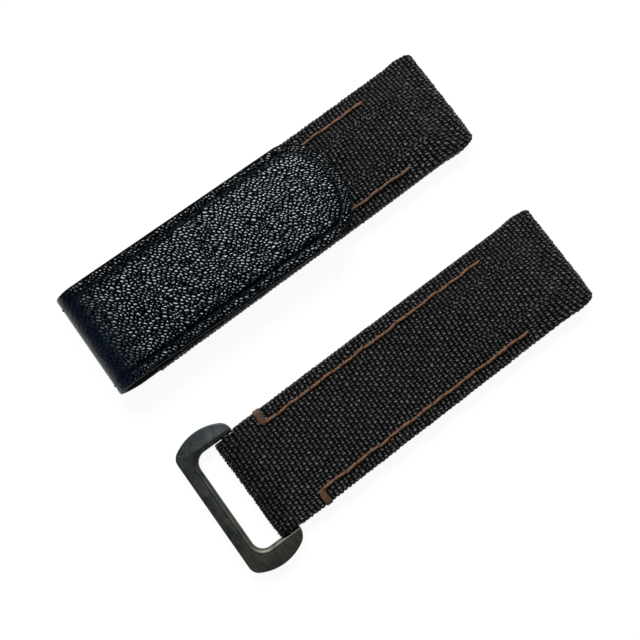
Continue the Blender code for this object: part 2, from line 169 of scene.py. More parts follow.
class StrapSizes(bpy.types.PropertyGroup):
    weft_pitch: length("Weft Pitch", "Distance between the threads that run across the strap", 0.898 * MM)
    warp_pitch: length("Warp Pitch", "Distance between the threads that run along the strap", 0.642 * MM)
    weave_relief: length("Weave Relief", "Height of the woven threads above the gaps between them", 0.45 * MM)
    grain_size: length("Grain Size", "Width of a pebble of the leather's grain", 0.54 * MM)
    grain_depth: length("Grain Depth", "Depth of the creases between the pebbles", 0.18 * MM)
    stitch_length: length("Stitch Length", "Length of one brown stitch with its gap", 2.6 * MM)
    stitch_thread: length("Stitch Thread", "Thickness of the brown thread", 0.65 * MM)


class StrapColours(bpy.types.PropertyGroup):
    weft: colour("Weft", "Threads that run across the strap", "#121213")
    warp: colour("Warp", "Threads that run along the strap", "#1d1d1e")
    leather: colour("Leather", "Dyed face of the leather", "#030914")
    stretched: colour("Stretched Leather", "Dyed face where it is stretched round the fold", "#050f1b")
    leather_edge: colour("Leather Edge", "Cut edge of the leather", "#23272b")
    brown: colour("Brown Thread", "Thread of the stitch lines and bar tacks", "#4f3625")
    black: colour("Black Thread", "Thread round the leather tongue", "#0b0f15")
    coating: colour("Ring Coating", "Dark coating of the metal ring", "#2f3638")
    # Painted reflection: lighter patches in the ring's colour
    reflection_patch: colour("Reflection Patch Tone", "Thinner patches of the ring's coating", "#4b4b45")
    tape: colour("Fastener Tape", "Hook and loop tapes", "#151517")
    board: colour("Board", "Stiffener inside the strap", "#6f6a62")


class StudioSettings(bpy.types.PropertyGroup):
    key_power: strength("Key Power", "Power of the large soft lamp", 22.0, unit="POWER")
    fill_power: strength("Fill Power", "Power of the weaker lamp", 0.3, unit="POWER")
    room_light: strength("Room Light", "Strength of the light from all round", 0.4)


def add_node(tree, kind, *values, named=None, **settings):
    """Adds a shader node, fills or links its inputs in order and by name, and gives its first output."""
    node = tree.nodes.new(f"ShaderNode{kind}")
    for name, value in settings.items():
        setattr(node, name, value)
    pairs = list(zip([socket for socket in node.inputs if socket.enabled], values))
    pairs += [(node.inputs[name], value) for name, value in (named or {}).items()]
    for socket, value in pairs:
        if isinstance(value, bpy.types.NodeSocket):
            tree.links.new(value, socket)
        else:
            socket.default_value = value
    return next((socket for socket in node.outputs if socket.enabled), None)


def new_material(name):
    """Material without nodes, and the function that adds them."""
    material = bpy.data.materials.new(name)
    material.use_nodes = True
    material.node_tree.nodes.clear()
    return material, partial(add_node, material.node_tree)


def between(node, share, tint, first, last):
    """Colour from one tone of a tint to another, by share."""
    tones = [(*(min(part * tone, 1.0) for part in tint), 1) for tone in (first, last)]
    return node("Mix", share, *tones, data_type="RGBA")


def ramp(value, start, end):
    """Smooth rise from 0 at start to 1 at end."""
    share = np.clip((value - start) / (end - start), 0.0, 1.0)
    return share * share * (3 - 2 * share)


def drift(x, y, size, seed):
    """Smooth random field from -1 to 1, whose bumps are one size apart."""
    table = np.random.default_rng(seed).random((64, 64)) * 2 - 1
    across, along = x / size, y / size
    column, row = np.floor(across).astype(int), np.floor(along).astype(int)
    mix_x, mix_y = ramp(across - column, 0.0, 1.0), ramp(along - row, 0.0, 1.0)
    here, ahead, low, high = column % 64, (column + 1) % 64, row % 64, (row + 1) % 64
    bottom = table[here, low] * (1 - mix_x) + table[ahead, low] * mix_x
    top = table[here, high] * (1 - mix_x) + table[ahead, high] * mix_x
    return bottom * (1 - mix_y) + top * mix_y


def turned(x, y, angle):
    return x * np.cos(angle) - y * np.sin(angle), x * np.sin(angle) + y * np.cos(angle)


def grid_mesh(name, columns, rows):
    """Flat grid mesh, and each corner's column and row in it."""
    bm = bmesh.new()
    bmesh.ops.create_grid(bm, x_segments=columns, y_segments=rows, size=0.5)
    mesh = bpy.data.meshes.new(name)
    bm.to_mesh(mesh)
    bm.free()
    places = np.empty(len(mesh.vertices) * 3)
    mesh.vertices.foreach_get("co", places)
    column = np.rint((places[0::3] + 0.5) * columns).astype(int)
    row = np.rint((places[1::3] + 0.5) * rows).astype(int)
    return mesh, column, row


def finished_mesh(bm, name):
    """Turns a bmesh into a new mesh, with its faces outwards."""
    bmesh.ops.recalc_face_normals(bm, faces=bm.faces)
    mesh = bpy.data.meshes.new(name)
    bm.to_mesh(mesh)
    bm.free()
    return mesh


def open_edges(bm):
    return [edge for edge in bm.edges if len(edge.link_faces) == 1]


def raise_plate(bm, outline, lower, upper):
    """Face in a given outline, extruded from one height to another."""
    face = bm.faces.new([bm.verts.new((x, y, lower)) for x, y in outline])
    made = bmesh.ops.extrude_face_region(bm, geom=[face])["geom"]
    rim = [item for item in made if isinstance(item, bmesh.types.BMVert)]
    bmesh.ops.translate(bm, verts=rim, vec=(0, 0, upper - lower))


def set_places(mesh, places):
    mesh.vertices.foreach_set("co", np.ascontiguousarray(places, dtype=np.float32).ravel())
    mesh.update()


def set_attribute(mesh, name, *values):
    """Gives each corner three numbers for a material to read."""
    attribute = mesh.attributes.new(name, "FLOAT_VECTOR", "POINT")
    attribute.data.foreach_set("vector", np.stack(values, 1).astype(np.float32).ravel())


def surface_normals(surface, across, along, step):
    """Unit normals of a surface given as a function, from its slopes."""
    first = surface(across + step, along) - surface(across - step, along)
    second = surface(across, along + step) - surface(across, along - step)
    normals = np.cross(first, second)
    return normals / np.linalg.norm(normals, axis=1, keepdims=True)


def new_piece(name, mesh, material, stands_for=(), body=None):
    """Shows a finished mesh as a piece of the strap."""
    mesh.name = name
    mesh.shade_smooth()
    piece = bpy.data.objects.new(name, mesh)
    bpy.context.scene.collection.objects.link(piece)
    mesh.materials.append(material)
    if stands_for:
        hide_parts(*stands_for)
    if body:
        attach(piece, body)
    return piece


def pad_rise(x, y):
    """How far the pad lifts the fabric above the flat body."""
    front = ramp(x, -PAD_LENGTH, -PAD_LENGTH + PAD_FRONT_RAMP)
    back = ramp(-x, PAD_BACK_START, PAD_BACK_START + PAD_BACK_RAMP)
    along = np.clip((x + PAD_LENGTH) / PAD_LENGTH, 0.0, 1.0)
    crest = PAD_FRONT_HALF_WIDTH + (PAD_BACK_HALF_WIDTH - PAD_FRONT_HALF_WIDTH) * along
    flank = ramp(PANEL_HALF_WIDTH - np.abs(y), 0.0, PANEL_HALF_WIDTH - crest)
    return PAD_HEIGHT * front * back * flank


# Woven covers

LUG_AXIS = -LOOP_RADIUS
FAR_AXIS = -(BUCKLE_LENGTH - LOOP_RADIUS)
TONGUE_TURN = -(TONGUE_LENGTH - EDGE_RADIUS)
CLOTH_HALF_WIDTH = 12.95 * MM
HALF_TURN = pi * LOOP_RADIUS

# Where the sides start to narrow towards the lug end, and beside the ring's arms to their narrowest
LUG_NARROWS = -2.9 * MM
ARMS_START = FAR_AXIS + 3.2 * MM
ARMS_END = FAR_AXIS + 2.3 * MM

# Plain weave: half of a thread's width in pitches, then its level and swing as shares of the relief
WEFT_HALF, WEFT_LEVEL, WEFT_SWING = 0.49, 0.54, 0.30
WARP_HALF, WARP_LEVEL, WARP_SWING, WARP_ARCH = 0.42, -0.45, -0.82, 0.55

# Faces to a pitch of each thread, the weave's level at the cloth's surface, and depth of the turned-in rim
WEFT_COLUMNS, WARP_ROWS = 5, 4
WEAVE_LEVEL = 0.62
RIM_DEPTH = CLOTH_THICKNESS - 0.1 * MM


def round_end(beyond, centre, direction, radius, turn, foot):
    """Cloth carried over an end: x, z and the normal, from how far it is past the end's axis."""
    angle = np.clip(beyond / radius, 0.0, turn)
    rest = np.maximum(beyond - turn * radius, 0.0)
    x = centre + direction * (radius * np.sin(angle) + rest * np.cos(angle))
    z = foot + radius * np.cos(angle) - rest * np.sin(angle)
    return x, z, direction * np.sin(angle), np.cos(angle)


def side_sizes(u, buckle_end):
    """Flat half width, edge radius and wall of a cover's sides, at each place along it."""
    if buckle_end:
        # Narrow enough near the ring for its arms to turn past
        spots, far_flat, far_edge = [ARMS_END, ARMS_START], 10.26 * MM, 0.32 * MM
        wall_spots = [FAR_AXIS + 2.2 * MM, FAR_AXIS + 3.4 * MM]
    else:
        spots, far_flat, far_edge = [TONGUE_TURN - 1.0 * MM, TONGUE_TURN], 10.2 * MM, 0.45 * MM
        wall_spots = [TONGUE_TURN - 0.6 * MM, TONGUE_TURN]
    spots += [LUG_NARROWS, LUG_AXIS]
    wall_spots += [LUG_NARROWS, -2.2 * MM]
    flat = np.interp(u, spots, [far_flat, PANEL_HALF_WIDTH, PANEL_HALF_WIDTH, 10.3 * MM])
    edge = np.interp(u, spots, [far_edge, EDGE_RADIUS, EDGE_RADIUS, 0.6 * MM])
    wall = np.interp(u, wall_spots, [0.1 * MM, FULL_WALL, FULL_WALL, 0.15 * MM])
    return flat, edge, wall


def cover_surface(buckle_end):
    """Function that gives the cloth's face from its unrolled place, in the half's own frame."""
    lug_end = (LUG_AXIS, 1, LOOP_RADIUS, pi, LOOP_RADIUS)
    if buckle_end:
        far, far_end = FAR_AXIS, (FAR_AXIS, -1, LOOP_RADIUS, pi, LOOP_RADIUS)
    else:
        far, far_end = TONGUE_TURN, (TONGUE_TURN, -1, EDGE_RADIUS, pi / 2, BODY_HEIGHT - EDGE_RADIUS)

    def surface(u, v):
        x, z = u.copy(), np.full_like(u, BODY_HEIGHT)
        out_x, out_z = np.zeros_like(u), np.ones_like(u)
        for chosen, beyond, end in ((u > LUG_AXIS, u - LUG_AXIS, lug_end), (u < far, far - u, far_end)):
            place = round_end(beyond[chosen], *end)
            x[chosen], z[chosen], out_x[chosen], out_z[chosen] = place

        # Over the side: flat, then round the edge, then down the wall
        flat, edge, wall = side_sizes(u, buckle_end)
        over = np.maximum(np.abs(v) - flat, 0.0) / (CLOTH_HALF_WIDTH - flat) * (edge * pi / 2 + wall)
        angle = np.minimum(over / edge, pi / 2)
        down = np.maximum(over - edge * pi / 2, 0.0)
        y = np.sign(v) * (np.minimum(np.abs(v), flat) + edge * np.sin(angle))
        drop = edge * (1 - np.cos(angle)) + down
        z = z + np.where((u < LUG_AXIS) & (u > far), pad_rise(x, y), 0.0)

        # The lug end swells before the tunnel, draws in over it and leans a little
        narrow = np.where(v < 0, 0.75, 0.25 if buckle_end else 0.55) * ramp(u, LUG_AXIS, 1.2 * MM)
        wide = 0.25 * np.exp(-((u + 4.0 * MM) / (2.5 * MM)) ** 2)
        y = y * (1 + (wide - narrow) * MM / (STRAP_WIDTH / 2))
        x = x + 0.25 * MM * ramp(u, -14.0 * MM, LUG_AXIS)
        if buckle_end:
            y = y - RING_SHIFT * ramp(-u, -ARMS_START, -ARMS_END)
        else:
            y = y + 0.2 * MM * ramp(u, -30.0 * MM, -4.0 * MM)
        return np.stack([x - out_x * drop, y, z - out_z * drop], 1)

    return surface


def thread_places(u, v, buckle_end):
    """Number of the weft and of the warp at each place of the unrolled cloth."""
    x = u / MM
    y = v / MM
    weft = 1.113 * x - 0.020 * y
    warp = 0.127 * x + 1.553 * y
    seed = 21 if buckle_end else 22
    # Each thread wanders a little, in long waves and from crossing to crossing
    weft = weft + 0.12 * np.sin(0.41 * y + 0.13 * x) + 0.05 * np.sin(0.9 * y - 0.31 * x + 1.3)
    weft = weft + 0.07 * drift(x, y, 3.1, seed) + 0.09 * drift(x, y, 1.1, seed + 10)
    warp = warp + 0.12 * np.sin(0.27 * x + 0.6)
    warp = warp + 0.16 * drift(x, y, 2.3, seed + 20) + 0.3 * drift(x, y, 0.9, seed + 30)
    # Threads lean where the cloth goes up over the pad, and are less even outside the stitch lines
    lean = ramp(x, -17.0, -1.0) * (0.20 * np.clip(y, -11.0, 11.0) + 0.20 * np.minimum(y + 4.5, 0.0))
    weft = weft + lean + 0.3 * ramp(x, -8.0, -1.0) * np.sin(0.5 * y)
    outside = ramp(np.abs(y), 7.9, 8.9)
    weft = weft + 0.1 * outside * drift(x, y, 1.3, seed + 40)
    warp = warp + 0.3 * outside * drift(x, y, 1.2, seed + 50)
    # In the lines along the pad's edges the wefts are half a pitch further on
    for gap, shown in pad_lines(x, y):
        weft = weft + 0.5 * shown * (ramp(gap, -0.42, -0.26) - ramp(gap, 0.26, 0.42))
    return weft, warp


def pad_lines(x, y):
    """Two lines where the cloth breaks over the pad's edges: distance outwards in mm, and strength."""
    upper = np.interp(x, (-27.0, -23.0, -15.0, -11.0, -7.0), (4.6, 4.8, 4.85, 4.5, 3.7))
    upper = upper + 0.16 * np.sin(2.1 * x)
    lower = np.interp(x, (-27.0, -22.0, -18.0, -12.0, -7.0), (3.9, 4.0, 4.6, 5.0, 5.9))
    lower = lower + 0.2 * np.sin(1.7 * x + 1.0)
    shown = ramp(x, -28.0, -25.0) * ramp(-x, 6.0, 9.0)
    return (y - upper, shown), (-y - lower, shown)


def weave_height(weft, warp):
    """Height of a plain weave, from 0 in its gaps to 1 on its highest threads."""
    near_weft = np.rint(weft)
    near_warp = np.rint(warp)
    weft_arch = np.sqrt(np.maximum(1 - ((weft - near_weft) / WEFT_HALF) ** 4, 0.0))
    warp_arch = np.sqrt(np.maximum(1 - ((warp - near_warp) / WARP_HALF) ** 4, 0.0))
    weft_level = weft_arch * (WEFT_LEVEL + WEFT_SWING * np.cos(pi * (warp + near_weft)))
    warp_level = WARP_ARCH * warp_arch + WARP_LEVEL + WARP_SWING * np.cos(pi * (weft + near_warp))
    return np.maximum(np.maximum(weft_level, warp_level), 0.0)


def woven_cover(half, buckle_end, place, material, sizes):
    """Woven cloth of one half, with each thread crossing in its mesh and a turned-in rim."""
    if buckle_end:
        first = FAR_AXIS - HALF_TURN - (BUCKLE_RETURN - LOOP_RADIUS)
    else:
        first = TONGUE_TURN - EDGE_RADIUS * pi / 2 - FULL_WALL
    last = LUG_AXIS + HALF_TURN + (LUG_RETURN - LOOP_RADIUS)
    columns = ceil((last - first) / (sizes.weft_pitch / WEFT_COLUMNS))
    rows = ceil(2 * CLOTH_HALF_WIDTH / (sizes.warp_pitch / WARP_ROWS))
    mesh, column, row = grid_mesh(half, columns, rows)
    u = first + (last - first) * column / columns
    v = CLOTH_HALF_WIDTH * (2 * row / rows - 1)
    surface = cover_surface(buckle_end)
    normals = surface_normals(surface, u, v, 0.02 * MM)
    weft, warp = thread_places(u, v, buckle_end)
    pull = 0.2 * drift(u, v, 0.7 * MM, 51) + 0.1 * drift(u, v, 2.4 * MM, 52)
    side = ramp(np.abs(v), 10.6 * MM, 11.6 * MM)
    # Threads are pulled flat at the sides, most of all beside the ring's arms
    held = 0.45 + 0.4 * ramp(-u, -ARMS_START, -FAR_AXIS - 2.6 * MM) * buckle_end
    height = (weave_height(weft, warp) - WEAVE_LEVEL + pull) * sizes.weave_relief * (1 - held * side)
    # Each of these lines is a ridge between two grooves, and the cloth swells just inside it
    for gap, shown in pad_lines(u / MM, v / MM):
        dip = np.exp(-((np.abs(gap) - 0.36) / 0.16) ** 2) - 0.35 * np.exp(-((gap + 0.8) / 0.4) ** 2)
        height = height - 0.14 * MM * shown * dip
    points = surface(u, v) + normals * height[:, None]
    # Threads that touch the table are pressed flat on it
    points[:, 2] = np.maximum(points[:, 2], 0.0)
    set_places(mesh, points + place)
    # Painted shade: the cloth's colour is darkened down its sides and where it goes round the ring's bar
    painted_shade = 1 - 0.5 * (1 - ramp(u, -76.5 * MM, -70.5 * MM)) if buckle_end else np.ones_like(u)
    painted_shade = painted_shade * (1 - 0.45 * ramp(np.abs(v), 10.9 * MM, 11.6 * MM))
    set_attribute(mesh, "threads", weft, warp, painted_shade)

    bm = bmesh.new()
    bm.from_mesh(mesh)
    inward = bm.verts.layers.float_vector.new("inward")
    bm.verts.ensure_lookup_table()
    for vert, normal in zip(bm.verts, normals):
        vert[inward] = Vector(-normal)
    for vert in bmesh.ops.extrude_edge_only(bm, edges=open_edges(bm))["geom"]:
        if isinstance(vert, bmesh.types.BMVert):
            vert.co += vert[inward] * RIM_DEPTH
    bmesh.ops.recalc_face_normals(bm, faces=bm.faces)
    top = max(bm.faces, key=lambda face: face.calc_center_median().z)
    if top.normal.z < 0:
        bmesh.ops.reverse_faces(bm, faces=bm.faces)
    bm.verts.layers.float_vector.remove(inward)
    bm.to_mesh(mesh)
    bm.free()
    cover = new_piece(f"{half}_weave", mesh, material, [f"{half}_cover"], "root")
    return cover, last - first


def woven_nylon(colours, sizes):
    """Nylon canvas, spun yarn in a plain weave: matt, with small glints on the crowns of its warps, painted
    glints in its colour and painted shade in its gaps.
    """
    material, node = new_material("woven_nylon_canvas")
    threads = node("Attribute", attribute_name="threads").node.outputs["Vector"]
    found = dict(zip(("weft", "warp", "painted_shade"), node("SeparateXYZ", threads).node.outputs))
    # The weave as weave_height has it, so that colours and relief meet
    steps = []
    for own, other, half, swing, level in (("weft", "warp", WEFT_HALF, WEFT_SWING, WEFT_LEVEL),
                                           ("warp", "weft", WARP_HALF, WARP_SWING, WARP_LEVEL)):
        steps += [
            (f"{own}_near", "ROUND", own), ("off", "SUBTRACT", own, f"{own}_near"),
            ("share", "DIVIDE", "off", half), ("square", "MULTIPLY", "share", "share"),
            ("fourth", "MULTIPLY", "square", "square"), ("rest", "SUBTRACT", 1.0, "fourth"),
            ("kept", "MAXIMUM", "rest", 0.0), (f"{own}_arch", "SQRT", "kept"),
            ("sum", "ADD", other, f"{own}_near"), ("turn", "MULTIPLY", "sum", pi),
            ("wave", "COSINE", "turn"), (f"{own}_swing", "MULTIPLY_ADD", "wave", swing, level),
        ]
    steps += [
        ("weft_level", "MULTIPLY", "weft_arch", "weft_swing"),
        ("warp_level", "MULTIPLY_ADD", "warp_arch", WARP_ARCH, "warp_swing"),
        ("height", "MAXIMUM", "weft_level", "warp_level"), ("ahead", "SUBTRACT", "warp_level", "weft_level"),
        ("number", "MULTIPLY_ADD", "weft_near", 7.31, "warp_near"), ("border", "ABSOLUTE", "ahead"),
    ]
    for name, operation, *terms in steps:
        found[name] = node("Math", *(found.get(term, term) for term in terms), operation=operation)
    is_warp = node("MapRange", found["ahead"], -0.04, 0.06)
    # Painted shade: the colour darkens from the threads' crowns down into the gaps between them
    rise = node("MapRange", found["height"], 0.2, 0.8, 0.1, 1.0)
    # Painted shade down the cloth's sides and round the ring's bar darkens the colour here
    rise = node("Math", rise, found["painted_shade"], operation="MULTIPLY")
    # Painted shade: darker where one thread dives under the next
    crevice_shade = node("MapRange", found["border"], 0.0, 0.25, 0.4, 1.0)
    rise = node("Math", rise, crevice_shade, operation="MULTIPLY")

    # Yarn filaments are under 0.05 mm, too fine to show, so they are drawn 0.15 mm wide
    weft_grain = node("VectorMath", threads, (5.0, 2.5, 1.0), operation="MULTIPLY")
    warp_grain = node("VectorMath", threads, (2.5, 4.5, 1.0), operation="MULTIPLY")
    grain_place = node("Mix", is_warp, weft_grain, warp_grain, data_type="VECTOR")
    fibre = node("TexNoise", grain_place, 1.0, 3.0, 0.6)
    # Painted highlight: small bright glints added to the threads' colour at random spots
    glint_spots = node("TexNoise", threads, 4.6, 1.0)
    soft = node("MapRange", fibre, 0.35, 0.7, 0.5, 1.4)
    painted_glint = node("MapRange", glint_spots, 0.62, 0.76, 0.0, 1.9)
    fibre_and_glint = node("Math", soft, painted_glint, operation="ADD")
    shade = node("Math", fibre_and_glint, rise, operation="MULTIPLY")
    # No two threads are dyed quite alike
    uneven = node("TexWhiteNoise", found["number"], noise_dimensions="1D")
    uneven = node("MapRange", uneven, 0.0, 1.0, 0.72, 1.28)
    shade = node("Math", shade, uneven, operation="MULTIPLY")
    yarn = node("Mix", is_warp, (*colours.weft, 1), (*colours.warp, 1), data_type="RGBA")
    base = node("VectorMath", yarn, shade, operation="SCALE")
    relief = node("Math", fibre, 0.3, found["height"], operation="MULTIPLY_ADD")
    bump = node("Bump", 0.8, sizes.weave_relief, named={"Height": relief})
    rough = node("MapRange", fibre, 0.0, 1.0, 0.55, 0.34)
    # The gloss follows the painted shade and painted glints of the colour, so that hardly any light comes
    # back from the gaps between the threads
    gloss = node("Math", shade, 0.4, operation="MULTIPLY")
    shader = node("BsdfPrincipled", named={
        "Base Color": base, "Roughness": rough, "IOR": 1.53, "Specular IOR Level": gloss, "Normal": bump})
    node("OutputMaterial", shader)
    return material


# Leather

GRAIN_SLANT = radians(50)
GRAIN_STRETCH = 1.75
LEATHER_EDGE = 0.25 * MM
LEATHER_ROWS = 150
LINING_ROWS = 96
LINING_STEP = 0.28 * MM
BAND_COLUMNS = 14
FLAP_COLUMNS = 420
BACK_ROWS = 16
BEND_INSET = 0.45 * MM
MERGE_DISTANCE = 0.002 * MM

# Way round the fold in which the stitch groove fades, and the way in which an end's skew is taken up
GROOVE_FADE = (-6.0 * MM, -2.0 * MM)
SKEW_RUN = 2.5 * MM


def pebbles(x, y, size, seed):
    """Distance to the two nearest pebble middles, in pebble widths."""
    table = np.random.default_rng(seed).random((128, 128, 2))
    across, along = y / size, x / size
    column, row = np.floor(along).astype(int), np.floor(across).astype(int)
    nearest = np.full_like(x, 9.0)
    second = np.full_like(x, 9.0)
    for i in (-1, 0, 1):
        for j in (-1, 0, 1):
            spot = 0.8 * table[(column + i) % 128, (row + j) % 128]
            gap = np.hypot(column + i + 0.1 + spot[:, 0] - along, row + j + 0.1 + spot[:, 1] - across)
            second = np.minimum(second, np.maximum(nearest, gap))
            nearest = np.minimum(nearest, gap)
    return nearest, second


def grain(x, y, sizes):
    """Height of the pebbled grain in its slanting rows, from 0 in its creases to 1 on its pebbles."""
    # Pebbles are wider towards the fold, where the leather is squeezed together
    x, y = x * (1 + 0.0015 * x / MM), y * (1 + 0.002 * x / MM)
    along, across = turned(x, y, GRAIN_SLANT)
    along = along / GRAIN_STRETCH + 0.25 * MM * drift(x, y, 2.2 * MM, 61)
    across = across + 0.3 * MM * drift(x, y, 1.7 * MM, 62)
    nearest, second = pebbles(along, across, sizes.grain_size, 5)
    slope = 1 - np.clip((second - nearest) / 0.75, 0.0, 1.0)
    dome = 1 - slope * slope
    fine, fine_second = pebbles(along * 1.2, across, sizes.grain_size * 0.5, 11)
    small = ramp(fine_second - fine, 0.0, 0.5)
    size = 0.84 + 0.16 * drift(x, y, 0.9 * MM, 63)
    return (0.87 * dome + 0.13 * small) * size


def fold_centre(share):
    """Hinge line of the fold, from the fold's own frame: share 0 at the lining, 1 at the flap."""
    angle = pi * share
    return -HINGE_REACH * np.sin(angle), FLAP_TOP / 2 - HINGE_RISE * np.cos(angle)


def leather_point(s, y, depth):
    """Place in the tongue half of a point of the leather: s runs round the fold and along the flap."""
    share = np.clip(1 + s / FOLD_TRAVEL, 0.0, 1.0)
    angle = pi * share
    x, z = fold_centre(share)
    out_x = -HINGE_RISE * np.sin(angle)
    out_z = -HINGE_REACH * np.cos(angle)
    size = np.hypot(out_x, out_z)
    reach = HINGE_DEPTH - depth
    x = x + out_x / size * reach
    z = z + out_z / size * reach
    # Both flat ends lie askew by half the skew, and turn into the fold over a short way
    beyond = np.maximum(s, 0.0) + np.maximum(-FOLD_TRAVEL - s, 0.0)
    half_skew = FLAP_SKEW / 2
    turn = -half_skew * ramp(s, -SKEW_RUN, 0.0) + half_skew * ramp(-s, FOLD_TRAVEL - SKEW_RUN, FOLD_TRAVEL)
    side_x, side_y = turned(beyond, y, turn)
    bulge = (0.6 * MM - 0.016 * y) * np.sin(angle) ** 2
    frame_x, frame_y = turned(x - bulge + side_x, side_y, -half_skew)
    shift = FLAP_SHIFT * ramp(s, -FOLD_TRAVEL, -FOLD_TRAVEL / 2)
    return np.stack([FOLD_X + frame_x, shift + frame_y, z], 1)


def leather_section(rows):
    """Closed section of the leather, as (side, inset, depth): side is -1 to 1 across its faces."""
    turns = (pi / 6, pi / 3, pi / 2)
    wall = [(LEATHER_EDGE * (1 - sin(turn)), LEATHER_EDGE * (1 - cos(turn))) for turn in turns]
    wall += [(0.0, 0.55 * MM), (0.03 * MM, 0.88 * MM)]
    section = [(-1 + 2 * i / rows, LEATHER_EDGE, 0.0) for i in range(rows + 1)]
    section += [(1.0, inset, depth) for inset, depth in wall]
    section += [(1 - 2 * i / BACK_ROWS, 0.15 * MM, LEATHER_THICKNESS) for i in range(BACK_ROWS + 1)]
    section += [(-1.0, inset, depth) for inset, depth in reversed(wall)]
    return np.array(section + section[:1])


def tip_line(s):
    """Outline of the flap at +Y: its place and its outward direction, from the way along it."""
    angle = np.where(s > TIP_START, pi / 2 * (1 - (s - TIP_START) / (FLAP_LENGTH - TIP_START)), pi / 2)
    angle = np.maximum(angle, 0.0)
    x = np.where(s > TIP_START, TIP_START + FLAP_TIP * np.cos(angle), s)
    y = LEATHER_HALF_WIDTH * np.sin(angle)
    out_x = np.cos(angle) / FLAP_TIP
    out_y = np.sin(angle) / LEATHER_HALF_WIDTH
    size = np.hypot(out_x, out_y)
    return x, y, out_x / size, out_y / size


def seam_inset(x, y):
    """How far the black stitch line is inside the flap's outline: further at one side, near the fold."""
    return SEAM_INSET + 0.4 * MM * ramp(-x, -32.0 * MM, -12.0 * MM) * (y > 0)


def edge_distance(x, y):
    """How far a place of the flap is inside its outline."""
    low = np.zeros_like(x)
    high = np.full_like(x, FLAP_TIP * 0.999)
    for _ in range(24):
        middle = (low + high) / 2
        share_x, share_y = (x - TIP_START) / (FLAP_TIP - middle), y / (LEATHER_HALF_WIDTH - middle)
        outside = share_x ** 2 + share_y ** 2 > 1
        high = np.where(outside, middle, high)
        low = np.where(outside, low, middle)
    return np.where(x > TIP_START, low, LEATHER_HALF_WIDTH - np.abs(y))


def section_grid(name, columns, rows):
    """Grid for the leather's section carried along a strip, with each corner's place in it."""
    section = leather_section(rows)
    mesh, column, row = grid_mesh(name, columns, len(section) - 1)
    side, inset, depth = section[row].T
    face = ramp(-depth, -0.2 * MM, -0.05 * MM) * (depth < 0.5 * MM)
    return mesh, column, side, inset, depth, face


def dress_leather(mesh, points, skin, pebble, close_ends=False):
    """Gives the grid its shape and patterns, and merges it where the section meets itself."""
    set_places(mesh, points)
    set_attribute(mesh, "skin", *skin)
    set_attribute(mesh, "pebble", *pebble)
    bm = bmesh.new()
    bm.from_mesh(mesh)
    bmesh.ops.remove_doubles(bm, verts=bm.verts, dist=MERGE_DISTANCE)
    if close_ends:
        bmesh.ops.holes_fill(bm, edges=open_edges(bm))
    bmesh.ops.recalc_face_normals(bm, faces=bm.faces)
    bm.to_mesh(mesh)
    bm.free()


def leather_strip(name, first, last, columns, material, stands_for, sizes):
    """Leather from one place to another on its way round the fold, as a closed section carried along."""
    mesh, column, side, inset, depth, face = section_grid(name, columns, LEATHER_ROWS)
    if last > TIP_START:
        # Columns are closer round the tip
        straight = int(columns * (TIP_START - first) / (last - first + 3.0 * MM))
        s = np.where(column <= straight, first + (TIP_START - first) * column / straight,
                     TIP_START + (last - TIP_START) * (column - straight) / (columns - straight))
    else:
        s = first + (last - first) * (column / columns)
    out_x, out_y, normal_x, normal_y = tip_line(s)
    x = out_x - inset * normal_x
    y = side * (out_y - inset * normal_y)
    along = np.where(s > TIP_START, x, s)
    # The fold stretches the grain almost flat
    fade = 0.26 + 0.74 * ramp(along, -7.0 * MM, 8.0 * MM) + 0.25 * ramp(-along, 4.5 * MM, 5.5 * MM)
    inner = edge_distance(along, y)
    seam = seam_inset(along, y)
    level = 0.42 + (grain(along, y, sizes) - 0.42) * ramp(inner, 0.15 * MM, 0.5 * MM)
    level = 1 - (1 - level) * (0.35 + 0.65 * fade)
    # The stitch line draws a groove into the leather, and the cut edge is pressed down
    gap = (inner - seam) / (0.4 * MM)
    line = np.exp(-gap * gap) * ramp(along, *GROOVE_FADE)
    deep = 1.3 - 0.3 * ramp(along, 4.0 * MM, 26.0 * MM)
    height = (level - 0.7) * sizes.grain_depth * deep * fade * (1 - 0.8 * line) - 0.06 * MM * line
    sunk = 0.03 * MM * (1 - ramp(np.abs(inner - seam), 0.0, 1.6 * MM))
    sunk = sunk + 0.05 * MM * np.exp(-((inner - 0.5 * MM) / (0.14 * MM)) ** 2)
    height = height - sunk * ramp(along, *GROOVE_FADE)
    # Painted shade: the groove is given an even mid-dark tone, and the colour is darkened just inside the
    # groove and on the strip outside it, more at +Y
    level = level + (0.56 - level) * 0.8 * line
    outer_strip_shade = np.where(y > 0, 0.24, 0.1) * ramp(seam - inner, 0.1 * MM, 0.4 * MM) * fade
    inner_groove_shade = 0.3 * np.exp(-((inner - seam - 0.45 * MM) / (0.45 * MM)) ** 2) * fade
    level = level * (1 - outer_strip_shade) * (1 - inner_groove_shade)
    fade = fade * (1 - 0.8 * line)
    points = leather_point(along, y, depth - height * face) + TONGUE_PLACE
    dress_leather(mesh, points, (along, y, face), (level, fade, face))
    return new_piece(name, mesh, material, stands_for)


